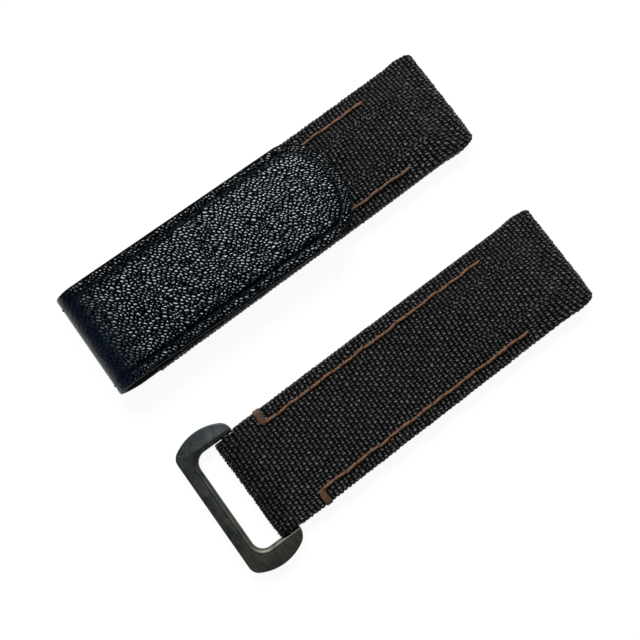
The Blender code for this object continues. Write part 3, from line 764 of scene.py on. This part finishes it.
def pebbled_leather(colours):
    """Top-grain leather, dyed, embossed with pebbles and glazed: dark, with sharp glints on each pebble."""
    material, node = new_material("embossed_top_grain_leather")
    skin = node("Attribute", attribute_name="skin").node.outputs["Vector"]
    face = node("SeparateXYZ", skin).node.outputs["Z"]
    pebble = node("Attribute", attribute_name="pebble").node.outputs["Vector"]
    level, fade, _ = node("SeparateXYZ", pebble).node.outputs
    # Painted shade: the dye and the gloss are darkened in the creases between the pebbles
    painted_crease_shade = node("MapRange", level, 0.38, 0.68, 0.03, 1.0)
    gloss = node("Math", painted_crease_shade, 0.73, operation="MULTIPLY")
    sheen = node("MapRange", fade, 0.0, 1.0, 0.3, 1.0)
    gloss = node("Math", gloss, sheen, operation="MULTIPLY")
    # Cut edges are burnished less than the face
    gloss = node("Mix", face, 0.3, gloss)
    # Pores are about 0.1 mm wide
    pores = node("TexNoise", skin, 4500.0, 3.0)
    blotch = node("TexNoise", skin, 220.0, 2.0)
    dye = between(node, blotch, colours.leather, 0.6, 1.5)
    # Dye is bluer where the leather is stretched round the fold
    dye = node("Mix", fade, (*colours.stretched, 1), dye, data_type="RGBA")
    # Painted shade in the creases darkens the dye here
    dye = node("VectorMath", dye, painted_crease_shade, operation="SCALE")
    base = node("Mix", face, (*colours.leather_edge, 1), dye, data_type="RGBA")
    rough = node("MapRange", pores, 0.0, 1.0, 0.2, 0.36)
    # The flesh side and the cut edges are unglazed
    rough = node("Mix", face, 0.75, rough)
    bump = node("Bump", 0.35, 0.05 * MM, named={"Height": pores})
    shader = node("BsdfPrincipled", named={
        "Base Color": base, "Roughness": rough, "IOR": 1.5, "Specular IOR Level": gloss,
        "Specular Tint": (0.9, 0.99, 1.0, 1), "Normal": bump})
    node("OutputMaterial", shader)
    return material


def lining_strip(half, place, first, last, material, sizes):
    """Leather under one half: a bevelled plate whose lower face has the grain."""
    name = f"{half}_lining_leather"
    columns = int((last - first) / LINING_STEP)
    mesh, column, side, inset, depth, face = section_grid(name, columns, LINING_ROWS)
    x = first + (last - first) * column / columns
    y = side * (LEATHER_HALF_WIDTH - inset)
    level = grain(x, y, sizes)
    height = (level - 1.0) * sizes.grain_depth * face
    points = np.stack([x, y, depth - height], 1) + place
    dress_leather(mesh, points, (x, y, face), (level, face, face), close_ends=True)
    new_piece(name, mesh, material, [f"{half}_lining"], "root")


# Threads

STITCH_STEPS = 18
BLACK_STITCH = 2.1 * MM
BLACK_RADIUS = 0.19 * MM
BLACK_STEPS = 9
TACK_THREADS = 6
TACK_WIDTH = 1.25 * MM
TACK_INNER = 7.75 * MM
TACK_LIFT = 0.16 * MM

# Brown stitch lines: half, side, place of the lug end, start, end and place across in mm
STITCH_ROWS = (
    ("buckle", "left", BUCKLE_PLACE, -65.9, -14.5, 8.2),
    ("buckle", "right", BUCKLE_PLACE, -64.7, -15.4, -8.15),
    ("tongue", "left", TONGUE_PLACE, -73.5, -14.25, 8.07),
    ("tongue", "right", TONGUE_PLACE, -73.5, -14.6, -8.0),
)

# Bar tacks: side, place along the buckle half in mm, and which way they go down
BAR_TACKS = (("left", -66.25, 1), ("right", -65.25, -1))


def thread(bm, path, radius, twist, sides=8):
    """Two-ply thread along a path of points: a lobed section that turns as it goes, tapered at both ends."""
    points = [Vector(point) for point in path]
    rings = []
    for index, point in enumerate(points):
        before, after = points[max(index - 1, 0)], points[min(index + 1, len(points) - 1)]
        way = (after - before).normalized()
        side = way.cross(Vector((0, 0, 1)))
        side = side.normalized() if side.length > 0.01 else Vector((0, 1, 0))
        up = side.cross(way)
        taper = min(1.0, 0.5 + 3.2 * min(index, len(points) - 1 - index) / (len(points) - 1))
        made = bmesh.ops.create_circle(bm, cap_ends=index in (0, len(points) - 1), segments=sides, radius=1.0)
        for vert in made["verts"]:
            angle = atan2(vert.co.y, vert.co.x)
            size = radius * taper * (1 + 0.26 * cos(2 * (angle - twist * index)))
            vert.co = point + side * (cos(angle) * size) + up * (sin(angle) * size)
        rings.append(made["verts"])
    for here, there in zip(rings, rings[1:]):
        edges = {edge for vert in here + there for edge in vert.link_edges
                 if all(end in here for end in edge.verts) or all(end in there for end in edge.verts)}
        bmesh.ops.bridge_loops(bm, edges=list(edges))


def body_top(x, y):
    return BODY_HEIGHT + float(pad_rise(np.array([x]), np.array([y]))[0])


def stitch_row(name, place, start, end, y, sizes, draw):
    """Brown stitches along one side of a half: each dips into the cloth at its ends."""
    bm = bmesh.new()
    count = round((end - start) / sizes.stitch_length)
    step = (end - start) / count
    radius = sizes.stitch_thread / 2
    for index in range(count):
        first = start + step * (index - 0.03)
        last = start + step * (index + 1.03)
        slant = (0.1 + 0.22 * draw.random()) * MM
        off = y + 0.16 * MM * (draw.random() - 0.5)
        path = []
        for spot in range(STITCH_STEPS + 1):
            share = spot / STITCH_STEPS
            x = first + (last - first) * share
            lift = 0.2 * MM * sin(pi * share) ** 0.5 + 0.02 * MM
            wander = 0.12 * MM * sin(1.1 * x / MM + y / MM) * sin(0.37 * x / MM + 2.0)
            across = off + slant * (share - 0.5) + 0.05 * MM * sin(2 * pi * share) + wander
            path.append((x, across, body_top(x, across) + lift))
        thread(bm, path, radius * (0.88 + 0.2 * draw.random()), 0.8)
    bmesh.ops.translate(bm, verts=bm.verts, vec=Vector(place))
    return finished_mesh(bm, name)


def tack_threads(centre, side, draw):
    """Bar tack: threads side by side across the edge of the strap, wrapped down its side."""
    bm = bmesh.new()
    out = EDGE_RADIUS + TACK_LIFT
    for index in range(TACK_THREADS):
        x = centre + TACK_WIDTH * ((index + 0.5) / TACK_THREADS - 0.5) + 0.04 * MM * (draw.random() - 0.5)
        inner = TACK_INNER + 0.3 * MM * draw.random()
        lean = 0.12 * MM * (draw.random() - 0.5)
        path = []
        for share in (0.0, 0.08, 0.2, 0.4, 0.6, 0.8, 1.0):
            y = inner + (PANEL_HALF_WIDTH - inner) * share
            level = BODY_HEIGHT + (TACK_LIFT if share > 0.05 else -0.05 * MM)
            # Threads turn into the stitch line at their inner ends
            bend = 0.55 * MM * max(1 - share / 0.45, 0.0) ** 2
            path.append((x + bend + lean * share, side * y, level))
        for angle in (pi / 8, pi / 4, 3 * pi / 8, pi / 2):
            path.append((x + lean, side * (PANEL_HALF_WIDTH + out * sin(angle)),
                         BODY_HEIGHT - EDGE_RADIUS + out * cos(angle)))
        foot = side * (PANEL_HALF_WIDTH + EDGE_RADIUS + 0.1 * MM)
        path.append((x + lean, foot, BODY_HEIGHT - 1.7 * MM))
        thread(bm, path, 0.15 * MM, 0.9, sides=6)
    bmesh.ops.translate(bm, verts=bm.verts, vec=Vector(BUCKLE_PLACE))
    return finished_mesh(bm, "tack")


def black_stitch(bm, s, y, depth, rise):
    """One stitch on the leather, which dips into it at both ends."""
    lift = rise * np.sin(pi * np.linspace(0, 1, len(s))) ** 0.5
    thread(bm, leather_point(s, y, depth - lift) + TONGUE_PLACE, BLACK_RADIUS, 0.7, sides=6)


def flap_stitches(material):
    """Black stitches in the groove round the flap."""
    bm = bmesh.new()
    reach, half = FLAP_TIP - SEAM_INSET, LEATHER_HALF_WIDTH - SEAM_INSET
    line = [(x * MM, -half) for x in np.arange(1.2, TIP_START / MM, 0.25)]
    turns = np.linspace(-pi / 2, pi / 2, 120)
    line += [(TIP_START + reach * cos(turn), half * sin(turn)) for turn in turns]
    line += [(x, -y) for x, y in reversed(line) if x < TIP_START]
    line = np.array(line)
    line[:, 1] -= np.sign(line[:, 1]) * (seam_inset(*line.T) - SEAM_INSET)
    travel = np.concatenate([[0], np.cumsum(np.hypot(*np.diff(line, axis=0).T))])
    count = round(travel[-1] / BLACK_STITCH)
    for index in range(count):
        ways = travel[-1] * (index + np.linspace(0.06, 0.94, BLACK_STEPS)) / count
        x, y = np.interp(ways, travel, line[:, 0]), np.interp(ways, travel, line[:, 1])
        black_stitch(bm, x, y, 0.42 * MM, 0.12 * MM)
    mesh = finished_mesh(bm, "flap_stitches")
    new_piece("flap_stitches", mesh, material, ["flap_seam"], "flap")


def fold_stitches(material):
    """Black stitches that go on round the fold, one at each side of each strip of it."""
    for index in range(FOLD_STRIPS):
        bm = bmesh.new()
        ways = -FOLD_TRAVEL * (1 - (index + np.linspace(0.2, 0.8, BLACK_STEPS)) / FOLD_STRIPS)
        groove = 0.3 * MM * ramp(ways, *GROOVE_FADE) + 0.3 * MM * ramp(-ways, 7.0 * MM, 9.5 * MM)
        for side in (-1, 1):
            y = np.full(BLACK_STEPS, side * (LEATHER_HALF_WIDTH - seam_inset(0.0, side)))
            black_stitch(bm, ways, y, groove + 0.1 * MM, 0.14 * MM)
        mesh = finished_mesh(bm, "fold_stitches")
        new_piece(f"fold_stitches_{index + 1}", mesh, material, body=f"fold_{index + 1}")


def spun_thread(name, tint):
    """Polyester sewing thread, two plies twisted: its filaments give a soft streaky gloss."""
    material, node = new_material(name)
    where = node("TexCoord").node.outputs["Object"]
    # Filaments are 0.02 mm, too fine to show, so they are drawn 0.1 mm wide
    fibres = node("TexNoise", where, 4200.0, 3.0)
    base = between(node, node("MapRange", fibres, 0.3, 0.7), tint, 0.4, 1.75)
    bump = node("Bump", 0.7, 0.08 * MM, named={"Height": fibres})
    shader = node("BsdfPrincipled", named={
        "Base Color": base, "Roughness": 0.55, "IOR": 1.55, "Specular IOR Level": 0.22, "Normal": bump})
    node("OutputMaterial", shader)
    return material


# Ring

def arc(centre, radius, first, last, steps):
    angles = np.linspace(first, last, steps + 1)
    return [(centre[0] + radius * cos(a), centre[1] + radius * sin(a)) for a in angles]


def ring_corner(side, radius):
    bow_x, bow_y = (RING_INNER_REACH - RING_REACH) / 2, RING_WIDTH / 2 - RING_END_RADIUS
    x = side - (radius if side > 0 else -radius)
    y = bow_y + sqrt((RING_END_RADIUS - radius) ** 2 - (x - bow_x) ** 2)
    return (x, y), atan2(y - bow_y, x - bow_x)


def ring_line():
    """Outline of the ring, open towards its inner bar: its outer points, and those of its slot."""
    bow = ((RING_INNER_REACH - RING_REACH) / 2, RING_WIDTH / 2 - RING_END_RADIUS)
    inner, inner_turn = ring_corner(RING_INNER_REACH, RING_INNER_CORNER)
    outer, outer_turn = ring_corner(-RING_REACH, RING_OUTER_CORNER)
    half = arc(inner, RING_INNER_CORNER, 0, inner_turn, 8)
    half += arc(bow, RING_END_RADIUS, inner_turn, outer_turn, 26)[1:-1]
    half += arc(outer, RING_OUTER_CORNER, outer_turn, pi, 10)
    slot_x = -RING_REACH + RING_BAR_WIDTH + SLOT_CORNER
    slot = [(RING_INNER_REACH, SLOT_WIDTH / 2)]
    slot += arc((slot_x, SLOT_WIDTH / 2 - SLOT_CORNER), SLOT_CORNER, pi / 2, pi, 10)
    outside = half + [(x, -y) for x, y in reversed(half)]
    inside = [(x, -y) for x, y in slot] + slot[::-1]
    return outside, inside


def coated_ring(material):
    """Flat ring: an outline extruded to a plate, its edges bevelled, with its round inner bar."""
    outside, inside = ring_line()
    bm = bmesh.new()
    half = RING_THICKNESS / 2
    raise_plate(bm, outside + inside, -half, half)
    bmesh.ops.recalc_face_normals(bm, faces=bm.faces)

    def in_slot(edge):
        near = 0.001 * MM
        return all(any(abs(v.co.x - x) + abs(v.co.y - y) < near for x, y in inside) for v in edge.verts)

    rims = [edge for edge in bm.edges if abs(edge.verts[0].co.z - edge.verts[1].co.z) < half]
    slot_rims = [edge for edge in rims if in_slot(edge)]
    outer_rims = [edge for edge in rims if edge not in slot_rims]
    for edges, width in ((slot_rims, SLOT_BEVEL), (outer_rims, RING_BEVEL)):
        edges = [edge for edge in edges if edge.is_valid]
        bmesh.ops.bevel(bm, geom=edges, offset=width, segments=4, profile=0.5, affect="EDGES", material=-1)
    bmesh.ops.create_cone(bm, cap_ends=True, segments=48, radius1=BAR_DIAMETER / 2, radius2=BAR_DIAMETER / 2,
                          depth=SLOT_WIDTH + 2.0 * MM, matrix=Matrix.Rotation(pi / 2, 4, "X"))
    place = Matrix.Translation(BAR_PLACE + Vector((0, 0, LOOP_RADIUS)))
    bm.transform(place @ Matrix.Rotation(-RING_SKEW, 4, "Z"))
    mesh = finished_mesh(bm, "ring")
    new_piece("coated_ring", mesh, material, ["buckle_ring"], "ring")
    mesh.set_sharp_from_angle(angle=radians(40))


def coated_steel(colours):
    """Stainless steel, brushed and given a thin dark vapour coating: soft metal gloss with fine streaks."""
    material, node = new_material("coated_brushed_steel")
    where = node("TexCoord").node.outputs["Object"]
    # Brushed lines are under 0.05 mm wide, too fine to show, so they are drawn 0.3 mm wide
    stretched = node("Mapping", where, named={"Scale": (3500.0, 350.0, 1500.0)})
    streaks = node("TexNoise", stretched, 1.0, 4.0)
    # Painted reflection: lighter patches about 4 mm across in the coating's colour, more frequent towards the
    # lower arm
    reflection_patches = node("TexNoise", where, 260.0, 4.0, 0.6, named={"Distortion": 1.5})
    height = node("SeparateXYZ", where).node.outputs["Y"]
    low, high = BUCKLE_PLACE[1] - RING_WIDTH / 2, BUCKLE_PLACE[1] + RING_WIDTH / 2
    lean = node("MapRange", height, low, high, 0.16, -0.1)
    reflection_patches = node("Math", reflection_patches, lean, operation="ADD")
    share = node("MapRange", reflection_patches, 0.38, 0.66)
    base = node("Mix", share, (*colours.coating, 1), (*colours.reflection_patch, 1), data_type="RGBA")

    # Painted reflection: by the distance from the slot's wall, the colour is lighter on the slot's rounded
    # rim and a dark line is painted where the rim starts
    span = 12.0 * MM
    middle = (-RING_REACH + RING_BAR_WIDTH + span, 0, 0)
    reach = (span - SLOT_CORNER, SLOT_WIDTH / 2 - SLOT_CORNER, 1.0)
    out = node("VectorMath", where, BAR_PLACE, operation="SUBTRACT")
    out = node("VectorRotate", out, (0, 0, 0), (0, 0, 1), RING_SKEW, rotation_type="AXIS_ANGLE")
    steps = (("SUBTRACT", middle), ("ABSOLUTE",), ("SUBTRACT", reach), ("MAXIMUM", (0, 0, 0)), ("LENGTH",))
    for operation, *other in steps:
        out = node("VectorMath", out, *other, operation=operation)
    out = node("MapRange", out, SLOT_CORNER, SLOT_CORNER + 1.4 * MM)
    tones = node("ValToRGB", out)
    elements = tones.node.color_ramp.elements
    rim_reflection_bands = ((0.0, 1.5), (0.42, 1.4), (0.5, 0.45), (0.58, 0.5), (0.7, 1.0))
    while len(elements) < len(rim_reflection_bands):
        elements.new(0.5)
    for element, (spot, tone) in zip(elements, rim_reflection_bands):
        element.position = spot
        element.color = (tone, tone, tone, 1)
    base = node("Mix", 1.0, base, tones, data_type="RGBA", blend_type="MULTIPLY")
    brushed = node("MapRange", streaks, 0.3, 0.7, 0.8, 1.2)
    base = node("VectorMath", base, brushed, operation="SCALE")
    rough = node("MapRange", streaks, 0.0, 1.0, 0.45, 0.62)
    bump = node("Bump", 0.15, 0.02 * MM, named={"Height": streaks})
    shader = node("BsdfPrincipled", base, 1.0, rough, named={"Normal": bump})
    node("OutputMaterial", shader)
    return material


# Tapes

TAPE_BASE = 0.32 * MM
TAPE_SUNK = 0.05 * MM
HOOK_PITCH = 1.15 * MM
PILE_PITCH = 0.8 * MM
LOOP_TIP = 8.0 * MM


def tape_base(bm, outline, lower, upper, place):
    """Backing of a tape: its outline, extruded from one depth to another and laid where it is sewn."""
    raise_plate(bm, outline, lower, upper)
    for vert in bm.verts:
        vert.co = place(*vert.co)


def past_tip(x, y, reach, half):
    """Whether a place is outside a tape's rounded tip, measured from where the tip starts."""
    return x > 0 and (x / reach) ** 2 + (y / half) ** 2 > 1


def add_copy(bm, shape, place):
    copy = shape.copy()
    copy.transform(place)
    bm.from_mesh(copy)
    bpy.data.meshes.remove(copy)


def small_shape(path, radius):
    """Short bent filament, as a mesh to copy."""
    bm = bmesh.new()
    thread(bm, path, radius, 0.0, sides=4)
    return finished_mesh(bm, "filament")


def tape_piece(name, bm, filament, material, node, body):
    """Shows a finished tape, and removes the filament that it was made with."""
    bpy.data.meshes.remove(filament)
    new_piece(name, finished_mesh(bm, name), material, [node], body)


def hook_tape(material):
    """Hooked tape under the tongue: a woven backing with rows of bent monofilament hooks."""
    start, tip, half = 2.6 * MM, FLAP_LENGTH - 1.4 * MM, LEATHER_HALF_WIDTH - 1.1 * MM
    tip_length = FLAP_TIP - 1.2 * MM
    bend = tip - tip_length
    outline = [(start, -half), (start, half)]
    outline += [(bend + tip_length * cos(a), half * sin(a)) for a in np.linspace(pi / 2, -pi / 2, 33)]

    def place(x, y, depth):
        return Vector(leather_point(np.array([x]), np.array([y]), np.array([depth]))[0] + TONGUE_PLACE)

    path = [(0.0, -0.04), (0.0, 0.22), (0.06, 0.4), (0.22, 0.48), (0.37, 0.4), (0.4, 0.26)]
    hook = small_shape([(0.0, across * MM, -out * MM) for across, out in path], 0.075 * MM)
    bm = bmesh.new()
    under = LEATHER_THICKNESS + TAPE_BASE
    tape_base(bm, outline, LEATHER_THICKNESS - TAPE_SUNK, under, place)
    for row, x in enumerate(np.arange(start + 0.8 * MM, tip - 0.6 * MM, HOOK_PITCH)):
        # Every other row is set half a pitch aside, and faces the other way
        turn = Matrix.Rotation(pi * (row % 2) - FLAP_SKEW, 4, "Z")
        aside = HOOK_PITCH / 2 * (row % 2)
        for y in np.arange(-half + 0.8 * MM + aside, half - 0.6 * MM, HOOK_PITCH):
            if past_tip(x - bend, y, tip_length - 0.7 * MM, half - 0.7 * MM):
                continue
            add_copy(bm, hook, Matrix.Translation(place(x, y, under)) @ turn)
    tape_piece("hook_tape_hooks", bm, hook, material, "hook_tape", "flap")


def loop_tape(material, draw):
    """Soft tape on the body: a knitted backing with a pile of small loops."""
    low, high = (Vector(corner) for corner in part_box("loop_tape"))
    half, middle = (high.y - low.y) / 2, (low.y + high.y) / 2
    bend = high.x - LOOP_TIP
    outline = [(low.x, low.y)]
    outline += [(bend + LOOP_TIP * cos(a), middle + half * sin(a)) for a in np.linspace(-pi / 2, pi / 2, 33)]
    outline += [(low.x, high.y)]
    top = BODY_HEIGHT + 0.15 * MM + TAPE_BASE
    bm = bmesh.new()
    tape_base(bm, outline, BODY_HEIGHT - TAPE_SUNK, top, lambda x, y, z: Vector((x, y, z)))
    turns = np.linspace(-0.15, 1.15, 6) * pi
    pile = small_shape([(0.28 * MM * cos(turn), 0.0, 0.6 * MM * sin(turn)) for turn in turns], 0.06 * MM)
    for x in np.arange(low.x + 0.6 * MM, high.x - 0.5 * MM, PILE_PITCH):
        for y in np.arange(low.y + 0.6 * MM, high.y - 0.5 * MM, PILE_PITCH):
            if past_tip(x - bend, y - middle, LOOP_TIP - 0.6 * MM, half - 0.6 * MM):
                continue
            shift = Vector((draw.random() - 0.5, draw.random() - 0.5, 0)) * 0.3 * MM
            turn = Matrix.Rotation(2 * pi * draw.random(), 4, "Z")
            turn = turn @ Matrix.Rotation(0.5 * draw.random(), 4, "X")
            turn = turn @ Matrix.Scale(0.8 + 0.35 * draw.random(), 4)
            add_copy(bm, pile, Matrix.Translation(Vector((x, y, top)) + shift) @ turn)
    tape_piece("loop_tape_pile", bm, pile, material, "loop_tape", "root")


def tape_cloth(colours):
    """Knitted nylon fastener tape: matt black with a fine knit."""
    material, node = new_material("knitted_fastener_tape")
    where = node("TexCoord").node.outputs["Object"]
    # Knit stitches are about 0.5 mm wide
    knit = node("TexVoronoi", where, 2000.0)
    base = between(node, node("MapRange", knit, 0.2, 0.7), colours.tape, 1.3, 0.3)
    bump = node("Bump", 0.6, 0.1 * MM, named={"Height": knit}, invert=True)
    shader = node("BsdfPrincipled", named={
        "Base Color": base, "Roughness": 0.8, "IOR": 1.53, "Specular IOR Level": 0.3, "Normal": bump})
    node("OutputMaterial", shader)
    return material


def pressed_board(colours):
    """Pressed fibre board, die cut: matt and faintly mottled by its fibres."""
    material, node = new_material("pressed_fibre_board")
    where = node("TexCoord").node.outputs["Object"]
    # Bundles of fibres are about 0.7 mm across
    fibres = node("TexNoise", where, 1500.0, 4.0)
    base = between(node, fibres, colours.board, 0.7, 1.0)
    bump = node("Bump", 0.3, 0.05 * MM, named={"Height": fibres})
    shader = node("BsdfPrincipled", base, 0.0, 0.85, named={"Normal": bump})
    node("OutputMaterial", shader)
    return material


# Operators

class STRAP_OT_weave_covers(bpy.types.Operator):
    """Weaves the fabric cover of each half"""

    bl_idname = "strap.weave_covers"
    bl_label = "Weave Covers"

    def execute(self, context):
        sizes, colours = context.scene.strap_sizes, context.scene.strap_colours
        cloth = woven_nylon(colours, sizes)
        for half, buckle_end, place in (("buckle", True, BUCKLE_PLACE), ("tongue", False, TONGUE_PLACE)):
            cover, travel = woven_cover(half, buckle_end, place, cloth, sizes)
        return {"FINISHED"}


class STRAP_OT_fold_leather(bpy.types.Operator):
    """Folds the leather tongue and lines both halves"""

    bl_idname = "strap.fold_leather"
    bl_label = "Fold Leather"

    def execute(self, context):
        sizes, colours = context.scene.strap_sizes, context.scene.strap_colours
        leather = pebbled_leather(colours)
        borders = [-FOLD_TRAVEL - BAND_OVERLAP]
        borders += [-FOLD_TRAVEL * (1 - (i + 0.5) / FOLD_STRIPS) for i in range(FOLD_STRIPS)]
        borders += [BAND_OVERLAP]
        depth = np.full(2, HINGE_DEPTH)
        for index, (first, last) in enumerate(zip(borders, borders[1:])):
            stands_for = [f"tongue_fold_{index}"] if index else []
            name = f"fold_band_{index + 1}"
            band = leather_strip(name, first, last, BAND_COLUMNS, leather, stands_for, sizes)
            ends = leather_point(np.array([first + BEND_INSET, last - BEND_INSET]), np.zeros(2), depth)
            # Ends of a line square to the strip's borders, which lie across the strap; they are computed but
            # not used
            middle = np.full(2, (first + last) / 2)
            across = np.diff(leather_point(middle, np.array([-5.0, 5.0]) * MM, depth), axis=0)[0]
            across = across / np.linalg.norm(across)
            ends[1] -= across * ((ends[1] - ends[0]) @ across)
            ends = ends + TONGUE_PLACE
            tuple(ends[0])
            tuple(ends[1])
            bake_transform(band)
        flap = leather_strip("flap_leather_grain", BAND_OVERLAP, FLAP_LENGTH, FLAP_COLUMNS, leather,
                             ["flap_leather"], sizes)
        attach(flap, "flap")
        # The lining runs on almost to the cloth's turned-in ends
        low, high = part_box("buckle_lining")
        lining_strip("buckle", BUCKLE_PLACE, low.x - LINING_REACH - BUCKLE_PLACE[0],
                     high.x + LINING_REACH - BUCKLE_PLACE[0], leather, sizes)
        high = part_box("tongue_lining")[1]
        lining_strip("tongue", TONGUE_PLACE, FOLD_X + BAND_OVERLAP, high.x + LINING_REACH - TONGUE_PLACE[0],
                     leather, sizes)
        return {"FINISHED"}


class STRAP_OT_sew(bpy.types.Operator):
    """Sews the brown stitch lines, the bar tacks and the black stitches of the tongue"""

    bl_idname = "strap.sew"
    bl_label = "Sew"

    def execute(self, context):
        sizes, colours = context.scene.strap_sizes, context.scene.strap_colours
        brown = spun_thread("brown_polyester_thread", colours.brown)
        tack = spun_thread("brown_bar_tack_thread", [share * 0.75 for share in colours.brown])
        black = spun_thread("black_polyester_thread", colours.black)
        draw = np.random.default_rng(3)
        for half, side, place, start, end, y in STITCH_ROWS:
            node = f"{half}_seam_{side}"
            mesh = stitch_row(node, place, start * MM, end * MM, y * MM, sizes, draw)
            new_piece(f"{half}_stitches_{side}", mesh, brown, [node], "root")
        for side, centre, direction in BAR_TACKS:
            mesh = tack_threads(centre * MM, direction, draw)
            new_piece(f"bar_tack_{side}", mesh, tack, [f"buckle_tack_{side}"], "root")
        flap_stitches(black)
        fold_stitches(black)
        return {"FINISHED"}


class STRAP_OT_form_ring(bpy.types.Operator):
    """Forms the coated metal ring"""

    bl_idname = "strap.form_ring"
    bl_label = "Form Ring"

    def execute(self, context):
        coated_ring(coated_steel(context.scene.strap_colours))
        return {"FINISHED"}


class STRAP_OT_lay_tapes(bpy.types.Operator):
    """Lays the hook tape under the tongue and the loop tape on the body"""

    bl_idname = "strap.lay_tapes"
    bl_label = "Lay Tapes"

    def execute(self, context):
        tape = tape_cloth(context.scene.strap_colours)
        hook_tape(tape)
        loop_tape(tape, np.random.default_rng(9))
        return {"FINISHED"}


class STRAP_OT_dress_boards(bpy.types.Operator):
    """Gives the hidden boards their finish"""

    bl_idname = "strap.dress_boards"
    bl_label = "Dress Boards"

    def execute(self, context):
        board = pressed_board(context.scene.strap_colours)
        for node in ("buckle_core", "tongue_core", "buckle_lug_insert", "tongue_lug_insert"):
            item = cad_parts[node]
            item.data.materials.clear()
            item.data.materials.append(board)
        return {"FINISHED"}


def add_lamp(name, place, width, height, power):
    """Soft rectangular lamp, turned towards the strap."""
    lamp = bpy.data.lights.new(name, "AREA")
    lamp.shape = "RECTANGLE"
    lamp.size = width
    lamp.size_y = height
    lamp.energy = power
    item = bpy.data.objects.new(name, lamp)
    item.location = place
    item.rotation_euler = (-Vector(place)).to_track_quat("-Z", "Y").to_euler()
    bpy.context.scene.collection.objects.link(item)


def white_floor():
    """White paper under the strap, which shows as white and keeps the strap's shadow."""
    bm = bmesh.new()
    bmesh.ops.create_grid(bm, x_segments=1, y_segments=1, size=2.0)
    mesh = finished_mesh(bm, "studio_floor")
    floor = bpy.data.objects.new("studio_floor", mesh)
    bpy.context.scene.collection.objects.link(floor)
    floor.location.z = -0.05 * MM
    material, node = new_material("white_paper")
    # Seen as white by the camera, and by any reflection or clear piece
    rays = node("LightPath").node.outputs
    seen = node("Math", rays["Is Camera Ray"], rays["Is Glossy Ray"], operation="MAXIMUM")
    seen = node("Math", seen, rays["Is Transmission Ray"], operation="MAXIMUM")
    keep = node("Math", seen, 0.94, operation="MULTIPLY")
    paper = node("BsdfDiffuse", (0.9, 0.9, 0.9, 1))
    glow = node("Emission", (1, 1, 1, 1), 1.0)
    node("OutputMaterial", node("MixShader", keep, paper, glow))
    mesh.materials.append(material)


def studio_world(room_light):
    """White where the camera looks past the floor, and a dim light that is strongest from low down."""
    world = bpy.data.worlds.new("studio")
    bpy.context.scene.world = world
    world.use_nodes = True
    world.node_tree.nodes.clear()
    node = partial(add_node, world.node_tree)
    camera_ray = node("LightPath").node.outputs["Is Camera Ray"]
    way = node("TexCoord").node.outputs["Generated"]
    up = node("SeparateXYZ", way).node.outputs["Z"]
    dim = node("MapRange", up, 0.0, 0.6, 1.0, 0.0)
    room = node("Math", dim, room_light, operation="MULTIPLY")
    level = node("Mix", camera_ray, room, 1.0)
    node("OutputWorld", node("Background", (1, 1, 1, 1), level))


def photo_camera():
    """Camera of the photograph."""
    camera = bpy.data.cameras.new("photo_camera")
    camera.sensor_width = 36.0
    camera.lens = CAMERA_LENS
    camera.clip_start = 0.005
    camera.shift_x, camera.shift_y = CAMERA_SHIFT
    item = bpy.data.objects.new("photo_camera", camera)
    bpy.context.scene.collection.objects.link(item)
    back = -CAMERA_LOOK.normalized()
    right = CAMERA_UP.cross(back).normalized()
    turn = Matrix((right, back.cross(right), back)).transposed()
    item.matrix_world = Matrix.Translation(CAMERA_PLACE) @ turn.to_4x4()
    bpy.context.scene.camera = item


class STRAP_OT_set_stage(bpy.types.Operator):
    """Sets the white floor, the soft lamps and the photograph's camera"""

    bl_idname = "strap.set_stage"
    bl_label = "Set Stage"

    def execute(self, context):
        studio = context.scene.strap_studio
        white_floor()
        studio_world(studio.room_light)
        add_lamp("key", (0.28, 0.65, 0.707), 0.75, 0.4, studio.key_power)
        add_lamp("fill", (-0.35, -0.25, 0.45), 0.4, 0.4, studio.fill_power)
        photo_camera()
        context.scene.view_settings.view_transform = "Standard"
        return {"FINISHED"}


STEPS = (STRAP_OT_weave_covers, STRAP_OT_fold_leather, STRAP_OT_sew, STRAP_OT_form_ring, STRAP_OT_lay_tapes,
         STRAP_OT_dress_boards, STRAP_OT_set_stage)


class STRAP_PT_sidebar(bpy.types.Panel):
    """Lists the strap's steps, sizes and colours"""

    bl_idname = "STRAP_PT_sidebar"
    bl_label = "Watch Strap"
    bl_space_type = "VIEW_3D"
    bl_region_type = "UI"
    bl_category = "Watch Strap"

    def draw(self, context):
        for step in STEPS:
            self.layout.operator(step.bl_idname)
        for group in (getattr(context.scene, name) for name in GROUPS):
            for name in group.bl_rna.properties.keys():
                if name not in ("rna_type", "name"):
                    self.layout.prop(group, name)


GROUPS = {"strap_sizes": StrapSizes, "strap_colours": StrapColours, "strap_studio": StudioSettings}
CLASSES = (*GROUPS.values(), *STEPS, STRAP_PT_sidebar)


def register():
    for item in CLASSES:
        bpy.utils.register_class(item)
    for name, group in GROUPS.items():
        setattr(bpy.types.Scene, name, PointerProperty(type=group))


def unregister():
    for name in GROUPS:
        delattr(bpy.types.Scene, name)
    for item in reversed(CLASSES):
        bpy.utils.unregister_class(item)


def main():
    register()
    for step in STEPS:
        group, name = step.bl_idname.split(".")
        getattr(getattr(bpy.ops, group), name)()


if __name__ == "__main__":
    main()
